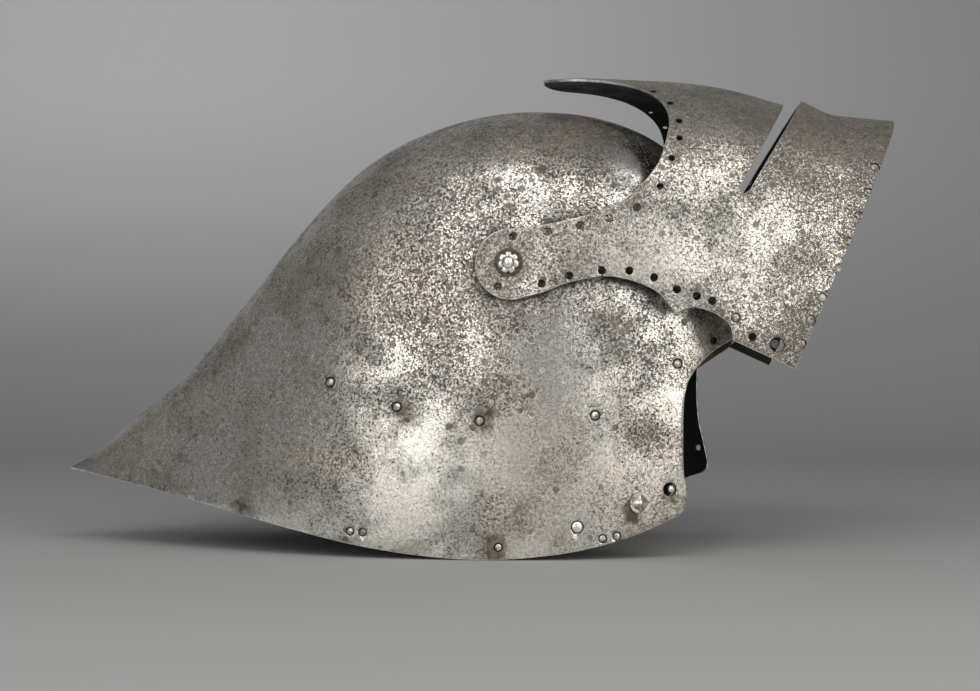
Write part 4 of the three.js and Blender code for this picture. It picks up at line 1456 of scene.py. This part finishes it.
@dataclass
class Visor:
    """The one-piece visor with its tongue, sight slot, holes and plugged holes."""

    finishes: Finishes
    plate: float = VISOR_PLATE
    arm_end: tuple[float, float, float] = (27, 163, 19.6)  # x, z, radius
    crescent: tuple[Point2, ...] = (
        (104, 90.3),
        (109.5, 86.4),
        (113.2, 79.2),
        (114.7, 72),
        (112.1, 63.3),
        (106.6, 55),
        (98.7, 46.7),
        (88.1, 38.5),
        (75, 32),
        (62, 27.5),
        (55, 25),
        (49.5, 21.5),
        (44.5, 15),
        (41.5, 6),
    )
    plugs: tuple[Point2, ...] = (
        (186.5, 119),
        (191.8, 132),
        (198.2, 144.3),
        (207.6, 160.5),
        (213.2, 175.2),
        (219.6, 189.9),
        (225.3, 203.3),
        (229.8, 218.3),
        (150.3, 133.2),
    )
    upper_holes: tuple[Point2, ...] = (
        (28.2, 178.3),
        (47.4, 180.6),
        (65.2, 184.2),
        (80.9, 188),
        (96.3, 194.1),
        (109.1, 205.9),
        (115.7, 221.9),
        (120.2, 233.8),
        (120.2, 244.1),
        (115.4, 255.4),
        (106.2, 263.6),
    )
    lower_holes: tuple[Point2, ...] = (
        (20.1, 150.5),
        (44.1, 152),
        (59.2, 156.3),
        (77.1, 159.2),
        (92.2, 159),
        (105.7, 155.3),
        (118.1, 148.7),
        (129, 145),
        (137.5, 142.4),
        (159.4, 122.7),
    )
    large_holes: int = 5  # of the upper row, from the pivot on; the others are small
    hole: float = 2.0
    small_hole: float = 1.6
    plug: float = 2.05
    catch_hole: Point2 = (173.1, 118.4)
    catch_radius: float = 3.9
    slot: tuple[Point2, ...] = (
        (155.2, 202),
        (158.6, 204),
        (192, 260),
        (215.9, 300),
        (205.2, 300),
        (183.2, 260),
        (153.2, 205.4),
    )

    def arm_line(self) -> list[Point2]:
        """Draws the part of the side view that lies on the skull.

        Returns:
            Points about 1 mm apart along it.
        """
        line = self.side_outline()
        near = [point for point in line if point[0] < 112 and point[1] < 214]
        dense = []
        for (x0, z0), (x1, z1) in zip(near, near[1:], strict=False):
            count = max(1, round(math.hypot(x1 - x0, z1 - z0)))
            dense += [(x0 + (x1 - x0) * k / count, z0 + (z1 - z0) * k / count) for k in range(count)]
        return dense

    def side_outline(self) -> list[Point2]:
        """Draws the visor's side view.

        Returns:
            The corners of the outline.
        """
        scallop = [(149, 120.8), (147, 129.2), (139, 135.6), (128.6, 138.8), (122.6, 137.9), (117.6, 135.5)]
        under = [(117.6, 135.5), (108.5, 146.4), (98.1, 152), (87, 155.2), (76.5, 155.9)]
        under += [(59.1, 152.6), (43.7, 147)]
        x, z, radius = self.arm_end
        turn = np.linspace(-1.2, 1.45 - math.tau, 40)
        end = [(x + radius * math.cos(a), z + radius * math.sin(a)) for a in turn]
        over = [end[-1], (53.9, 186.3), (81.4, 194.1), (92, 200.5), (98, 206.4), (103, 212), (105, 217)]
        front = [(60, 258), (30, 264), (30, 310), (259.4, 310), (247.4, 250.6), (183.1, 104.9)]
        under_line = smooth_line(under)[1:]
        return [*smooth_line(scallop), *under_line, *end, *smooth_line(over)[1:], *front]

    def plan_outline(self) -> list[Point2]:
        """Draws the visor's plan, with the crescent on each side of its tongue.

        Returns:
            The corners of the outline.
        """
        left = smooth_line(self.crescent, 6)
        right = [(x, -y) for x, y in left]
        rear = [(96, 90.6), (-60, 90.6), (-60, 150), (300, 150), (300, -150), (-60, -150)]
        rear += [(-60, -90.6), (96, -90.6)]
        return [*right, *reversed(left), *rear]

    def build(self) -> None:
        """Builds the visor's plate and the rivets that plug its front holes."""
        keep = [prism(self.side_outline(), -BLOCK_HALF, BLOCK_HALF)]
        keep += [prism(self.plan_outline(), 60, 320, plan=True)]
        cut = [prism(self.slot, -BLOCK_HALF, BLOCK_HALF), drills(self.holes())]
        plate = Plate(VISOR, self.plate, keep, cut, rows=190, columns=160).make("visor_plate")
        shade_hole_walls(plate, self.holes())
        # Rust has bitten more toward the front and the pivot, and less along the middle of the cheek.
        corrosion = (
            Patch(165, 175, 55, -0.22),
            Patch(100, 170, 40, -0.25),
            Patch(205, 235, 60, 0.2),
            Patch(190, 115, 30, 0.15),
            Patch(25, 164, 26, 0.1),
        )
        # Staining around the pivot, and dark rings around the holes and plugs, partly staining and partly
        # painted shade between the plates.
        dark_patches = [Patch(PIVOT.x + 1, PIVOT.z - 1, 13, 0.75)]
        dark_patches += [Patch(x, z, 4.5, 0.45) for x, z in (*self.plugs, *self.lower_holes, self.catch_hole)]
        dark_patches += [Patch(x, z, 4, 0.5) for x, z in self.upper_holes]
        set_attribute(plate, "corrosion", lambda p: 0.62 + sum(patch.at(p) for patch in corrosion))
        set_attribute(plate, "stain_and_shade", lambda p: np.clip(sum(patch.at(p) for patch in dark_patches), 0, 1))
        shade(plate, 48)
        steel = self.finishes
        place_piece(plate, "visor", "visor_steel", ["visor"], steel.visor, steel.edge, steel.inside)
        for side in Side:
            for k, (x, z) in enumerate(self.plugs, 1):
                node = f"{side.label}_visor_rivet_{k}"
                profile = [(0, -self.plate), (1.7, -self.plate), (1.75, -0.7)]
                profile += dome(self.plug, 0.35, -0.45)
                piece = turned(profile, node + "_worn", VISOR.seat(x, z, side), 24)
                place_piece(piece, "visor", "bright_steel", [node], steel.plug)

    def holes(self) -> list[tuple[Seat, float]]:
        """Lists every hole of the visor.

        Returns:
            Seat and radius of each hole.
        """
        holes = [(VISOR.seat(*self.catch_hole, Side.RIGHT), self.catch_radius)]
        for side in Side:
            large = (*self.upper_holes[: self.large_holes], *self.lower_holes)
            small = self.upper_holes[self.large_holes :]
            holes += [(VISOR.seat(x, z, side), self.hole) for x, z in large]
            holes += [(VISOR.seat(x, z, side), self.small_hole) for x, z in small]
            holes += [(VISOR.seat(x, z, side), self.plug + 0.4) for x, z in self.plugs]
            holes += [(PIVOT.seat(side, PIVOT.visor_half_width), PIVOT_HOLE)]
        return holes


# ------------------------------------------------------------------ the pivots


@dataclass
class PivotStack:
    """The rivet, flower-shaped washer, disc, spacer and burr of one pivot."""

    finishes: Finishes
    side: Side
    shank: float = 2.5
    disc: float = 7.8
    lobes: int = 7
    rosette: float = 6.1
    rosette_thickness: float = 1.4
    head: float = 3.6
    burr: float = 7.0
    burr_thickness: float = 1
    disc_thickness: float = 0.8

    def build(self) -> None:
        """Builds the stack from the inside out."""
        steel = self.finishes
        seat = PIVOT.seat(self.side, PIVOT.skull_half_width)
        bore = self.shank + TOUCH_GAP
        outer = PIVOT.visor_half_width - PIVOT.skull_half_width
        label = self.side.label
        burr_top = -SKULL_PLATE - TOUCH_GAP
        burr_foot = burr_top - self.burr_thickness
        disc_foot = outer + TOUCH_GAP
        disc_top = disc_foot + self.disc_thickness
        rings = (
            ("spacer", self.disc, TOUCH_GAP, outer - VISOR_PLATE - TOUCH_GAP, steel.leather, "leather"),
            ("burr", self.burr, burr_foot, burr_top, steel.dark, "dark_steel"),
            ("disc", self.disc, disc_foot, disc_top, steel.dark, "dark_steel"),
        )
        for part, radius, low, high, material, slot in rings:
            node = f"{label}_pivot_{part}"
            piece = turned(ring(bore, radius, low, high), node + "_worn", seat, 40)
            place_piece(piece, "skull", slot, [node], material)
        rosette_foot = disc_top + TOUCH_GAP
        self.build_rosette(seat, bore, rosette_foot)
        head_foot = rosette_foot + self.rosette_thickness + TOUCH_GAP * 0.5
        tail = burr_foot - TOUCH_GAP
        profile = [(0, tail - 1.5), (1.8, tail - 1.4), (3, tail - 0.8), (3.6, tail), (self.shank, tail)]
        profile += [(self.shank, head_foot)]
        node = f"{label}_pivot_rivet"
        rivet = turned([*profile, *dome(self.head, 2.9, head_foot, 0.5, 9)], node + "_worn", seat, 40)
        place_piece(rivet, "skull", "bright_steel", [node], steel.bright)

    def build_rosette(self, seat: Seat, bore: float, foot: float) -> None:
        """Builds the flower-shaped washer: a domed ring pinched in between its petals.

        Args:
            seat: Where the pivot leaves the skull.
            bore: The radius of its hole.
            foot: The height of its lower face above the seat.
        """
        bm = bmesh.new()
        edge, top = self.rosette, self.rosette_thickness
        profile = [(bore, 0), (edge, 0), (edge + 0.1, 0.4), (edge - 0.2, 0.9), (edge - 0.8, 1.25)]
        profile += [(edge - 1.6, top), (edge - 2.5, top), (bore, top)]
        verts = [bm.verts.new((radius, 0, height)) for radius, height in profile]
        edges = [bm.edges.new(pair) for pair in zip(verts, verts[1:] + verts[:1], strict=True)]
        steps = self.lobes * 12
        spin = {"cent": (0, 0, 0), "axis": (0, 0, 1), "angle": math.tau, "steps": steps}
        bmesh.ops.spin(bm, geom=[*verts, *edges], use_merge=True, **spin)
        for vert in bm.verts:
            x, y, z = vert.co
            radius, angle = math.hypot(x, y), math.atan2(y, x)
            pinch = ((1 - math.cos(self.lobes * angle)) / 2) ** 4
            share = (radius - bore) / (self.rosette - bore)
            grown = radius * (1 - 0.16 * pinch * share)
            vert.co = (grown * math.cos(angle), grown * math.sin(angle), z * (1 - 0.6 * pinch * share))
        bmesh.ops.translate(bm, vec=(0, 0, foot), verts=bm.verts)
        bmesh.ops.transform(bm, matrix=seat.matrix, verts=bm.verts)
        node = f"{self.side.label}_pivot_rosette"
        piece = clean_mesh(bm, node + "_worn", 0.002)
        shade(piece, 50)
        place_piece(piece, "skull", "bright_steel", [node], self.finishes.bright)


# ------------------------------------------------------------------ the lining


@dataclass
class Lining:
    """The quilted linen cap and the leather band that the lining rivets hold."""

    finishes: Finishes
    rivets: tuple[Point2, ...]
    band_width: float = 20
    band_depth: float = 2.1  # from the steel's outer face to the band's
    band_thickness: float = BAND_LEATHER
    channels: int = 22  # quilted channels around the cap
    quilt: float = 2.4  # how deep the quilting sinks, in millimetres
    swell: float = 3.0  # most that the stuffing may push a point out
    voxel: float = 4.5
    pressure: float = 4  # of the stuffing
    settling: int = 20  # frames until the cloth lies still
    seam_half: float = 4.5  # from a seam's middle to where the cap is full again
    button: Point2 = (14, 26)  # the seams begin between these distances from the middle
    centre: tuple[float, float, float] = (45, 0, 124)

    def build(self) -> None:
        """Builds the leather band and the quilted cap."""
        middle = smooth_line([(150, 128), *self.rivets, (-120, 109), (-200, 101)])
        half = self.band_width / 2
        upper = [(x, z + half) for x, z in middle]
        lower = [(x, z - half) for x, z in reversed(middle)]
        block = prism([*upper, *lower], -BLOCK_HALF, BLOCK_HALF)
        band = Plate(
            SKULL,
            self.band_thickness,
            [block],
            [],
            rows=150,
            columns=120,
            offset=-self.band_depth,
            edge_round=0.35,
        ).make("lining_band_leather")
        shade(band, 50)
        hide = self.finishes.leather
        place_piece(band, "skull", "leather", ["lining_band"], hide, hide, hide)
        self.build_cap()

    def build_cap(self) -> None:
        """Builds the stuffed cap from the room that its node holds."""
        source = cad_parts["lining"]
        cap = bpy.data.objects.new("lining_quilted_cap", source.data.copy())
        bpy.context.scene.collection.objects.link(cap)
        bm = bmesh.new()
        bm.from_mesh(cap.data)
        bmesh.ops.remove_doubles(bm, verts=bm.verts, dist=0.02 * MM)
        bm.to_mesh(cap.data)
        bm.free()
        remesh = cap.modifiers.new("even", "REMESH")
        remesh.mode, remesh.voxel_size = "VOXEL", self.voxel * MM
        relax = cap.modifiers.new("relax", "SMOOTH")
        relax.factor, relax.iterations = 0.5, 4
        apply_modifiers(cap)
        self.stuff(cap)
        self.sew(cap)
        smooth = cap.modifiers.new("smooth", "SUBSURF")
        smooth.levels = smooth.render_levels = 1
        apply_modifiers(cap)
        cap.data.shade_smooth()
        place_piece(cap, "skull", "linen", ["lining"], self.finishes.linen)

    def stuff(self, cap: bpy.types.Object) -> None:
        """Swells the cap by its stuffing, as cloth under pressure, with each point's move capped.

        Args:
            cap: The smooth cap.
        """
        before = np.array([vert.co for vert in cap.data.vertices])
        cloth = cap.modifiers.new("cloth", "CLOTH")
        cloth.settings.use_pressure = True
        cloth.settings.uniform_pressure_force = self.pressure
        cloth.settings.effector_weights.gravity = 0
        scene = bpy.context.scene
        for step in range(1, self.settling + 1):
            scene.frame_set(step)
        apply_modifiers(cap)
        scene.frame_set(1)
        after = np.array([vert.co for vert in cap.data.vertices])
        move = after - before
        length = np.maximum(np.linalg.norm(move, axis=1, keepdims=True), 1e-9)
        kept = before + move * np.minimum(1, self.swell * MM / length)
        cap.data.vertices.foreach_set("co", kept.astype(np.float32).ravel())
        cap.data.update()

    def sew(self, cap: bpy.types.Object) -> None:
        """Sinks the quilting seams into the cap and marks them for its material.

        Args:
            cap: The stuffed cap.
        """
        mesh = cap.data
        centre = np.array(self.centre)
        places = np.array([vert.co for vert in mesh.vertices]) / MM
        normals = np.array([vert.normal for vert in mesh.vertices])
        arms = places - centre
        turn = np.arctan2(arms[:, 1], arms[:, 0])
        spread = np.hypot(arms[:, 0], arms[:, 1])
        across = np.abs(np.sin(turn * self.channels / 2)) * spread / self.channels * 2
        seam = 1 - smoothstep(across, 0, self.seam_half)
        seam *= smoothstep(spread, *self.button)
        sunk = places - normals * (self.quilt * seam)[:, None]
        mesh.vertices.foreach_set("co", (sunk * MM).astype(np.float32).ravel())
        mesh.update()
        made = mesh.attributes.new("seam", "FLOAT", "POINT")
        made.data.foreach_set("value", seam.astype(np.float32))


# ------------------------------------------------------------------ the studio


@dataclass
class Studio:
    """The camera, the three soft boxes, the pale floor and the backdrop."""

    camera_place: tuple[float, float, float] = (0.08706, -1.2, 0.118)
    camera_turn: float = 3.719  # degrees
    lens: float = 73.47
    middle: tuple[float, float, float] = (0.02, 0.0, 0.14)
    world: str = "#848588"
    paper_painted_light: str = "#e4e4e2"
    paper_painted_shade: str = "#a9a9a8"
    paper_floor_painted_shade: str = "#9c9c9a"
    paper_mirrored: str = "#d6d6d4"
    paper_half_width: float = 9000
    paper_bend: float = 900  # behind the helmet, where the floor begins to curve up
    paper_curve: float = 500  # the radius of that curve
    paper_height: float = 6000
    paper_drop: float = 0.4  # under the helmet

    def build(self) -> None:
        """Sets up the camera, the lights, the floor and the backdrop."""
        scene = bpy.context.scene
        scene.view_settings.view_transform = "Standard"
        camera = bpy.data.objects.new("camera", bpy.data.cameras.new("camera"))
        camera.data.lens, camera.data.sensor_width = self.lens, 36
        camera.location = self.camera_place
        camera.rotation_euler = (math.pi / 2, 0, math.radians(self.camera_turn))
        scene.collection.objects.link(camera)
        scene.camera = camera
        self.soft_box("soft_box_left", -23.5, 27, 1.5, (0.78, 1.75), 2.5)
        self.soft_box("soft_box_right", 30, 27, 1.5, (1.03, 1.75), 2.5)
        self.soft_box("soft_box_top", 2, 47, 1.5, (0.36, 0.65), 1.9)
        self.surroundings()
        self.floor()

    def soft_box(
        self, name: str, azimuth: float, rise: float, reach: float, size: Point2, glow: float
    ) -> None:
        """A large lamp that faces the helmet.

        Args:
            name: Its name.
            azimuth: Degrees from the camera's side of the helmet, positive to the right.
            rise: Degrees above it.
            reach: Its distance in metres.
            size: Width and height in metres.
            glow: How bright its face is; 1 is white.
        """
        lamp = bpy.data.lights.new(name, "AREA")
        lamp.shape, (lamp.size, lamp.size_y) = "RECTANGLE", size
        lamp.energy = glow * math.pi * size[0] * size[1]
        turn, lift = math.radians(azimuth + self.camera_turn), math.radians(rise)
        way = Vector((math.sin(turn) * math.cos(lift), -math.cos(turn) * math.cos(lift), math.sin(lift)))
        piece = bpy.data.objects.new(name, lamp)
        piece.location = Vector(self.middle) + way * reach
        piece.rotation_euler = way.to_track_quat("Z", "Y").to_euler()
        bpy.context.scene.collection.objects.link(piece)

    def surroundings(self) -> None:
        """An even grey room around the helmet."""
        world = bpy.data.worlds.new("studio")
        bpy.context.scene.world = world
        world.use_nodes = True
        world.node_tree.nodes["Background"].inputs["Color"].default_value = linear(self.world)

    def floor(self) -> None:
        """A pale floor that curves up into a backdrop."""
        bm = bmesh.new()
        half, bend, radius = self.paper_half_width, self.paper_bend, self.paper_curve
        curve = [(-half, 0), (bend, 0)]
        turn = np.radians(np.arange(10, 91, 10))
        curve += [(bend + radius * math.sin(a), radius - radius * math.cos(a)) for a in turn]
        curve += [(bend + radius, self.paper_height)]
        verts = [bm.verts.new((-half, y, z - self.paper_drop)) for y, z in curve]
        edges = [bm.edges.new(pair) for pair in zip(verts, verts[1:], strict=False)]
        grown = bmesh.ops.extrude_edge_only(bm, edges=edges)["geom"]
        moved = [part for part in grown if isinstance(part, bmesh.types.BMVert)]
        bmesh.ops.translate(bm, vec=(2 * half, 0, 0), verts=moved)
        bmesh.ops.recalc_face_normals(bm, faces=bm.faces)
        piece = raw_mesh(bm, "backdrop")
        piece.data.shade_smooth()
        # Matt seamless paper with painted light: paler to the left, darker to the right, and darker still on
        # the floor, as the light falls off. In reflections its floor is paler too.
        material = bpy.data.materials.new("backdrop_paper")
        material.use_nodes = True
        tree = material.node_tree
        add = partial(add_node, tree)
        place = add("TexCoord", {}).outputs["Object"]
        axes = add("SeparateXYZ", (place,)).outputs
        share_sockets = {"Value": axes[0], "From Min": -0.7, "From Max": 0.75}
        share = add("MapRange", share_sockets, **SMOOTH).outputs[0]
        colour_sockets = {0: share, 6: linear(self.paper_painted_light), 7: linear(self.paper_painted_shade)}
        wall = add("Mix", colour_sockets, data_type="RGBA").outputs[2]
        rise_sockets = {"Value": axes[2], "From Min": 0, "From Max": 0.5}
        rise = add("MapRange", rise_sockets, **SMOOTH).outputs[0]
        floor_sockets = {0: rise, 6: linear(self.paper_floor_painted_shade), 7: wall}
        shown = add("Mix", floor_sockets, data_type="RGBA").outputs[2]
        glossy = add("LightPath", {}).outputs["Is Glossy Ray"]
        low = add("Math", (1.0, rise), operation="SUBTRACT").outputs[0]
        mirrored = add("Math", (glossy, low), operation="MULTIPLY").outputs[0]
        mirror_sockets = {0: mirrored, 6: shown, 7: linear(self.paper_mirrored)}
        colour = add("Mix", mirror_sockets, data_type="RGBA").outputs[2]
        paper = tree.nodes["Principled BSDF"].inputs
        tree.links.new(colour, paper["Base Color"])
        paper["Roughness"].default_value = 0.9
        piece.data.materials.append(material)


def main() -> None:
    """Builds the helmet piece by piece, then the studio."""
    logging.basicConfig(level=logging.INFO, format="%(name)s %(message)s")
    finishes = Finishes()
    skull, visor = Skull(finishes), Visor(finishes)
    under_arms = (*visor.upper_holes[: visor.large_holes], *visor.lower_holes[:6])
    skull.build(visor.arm_line(), under_arms)
    visor.build()
    for side in Side:
        PivotStack(finishes, side).build()
    Lining(finishes, skull.lining_rivets).build()
    Studio().build()


if __name__ == "__main__":
    main()
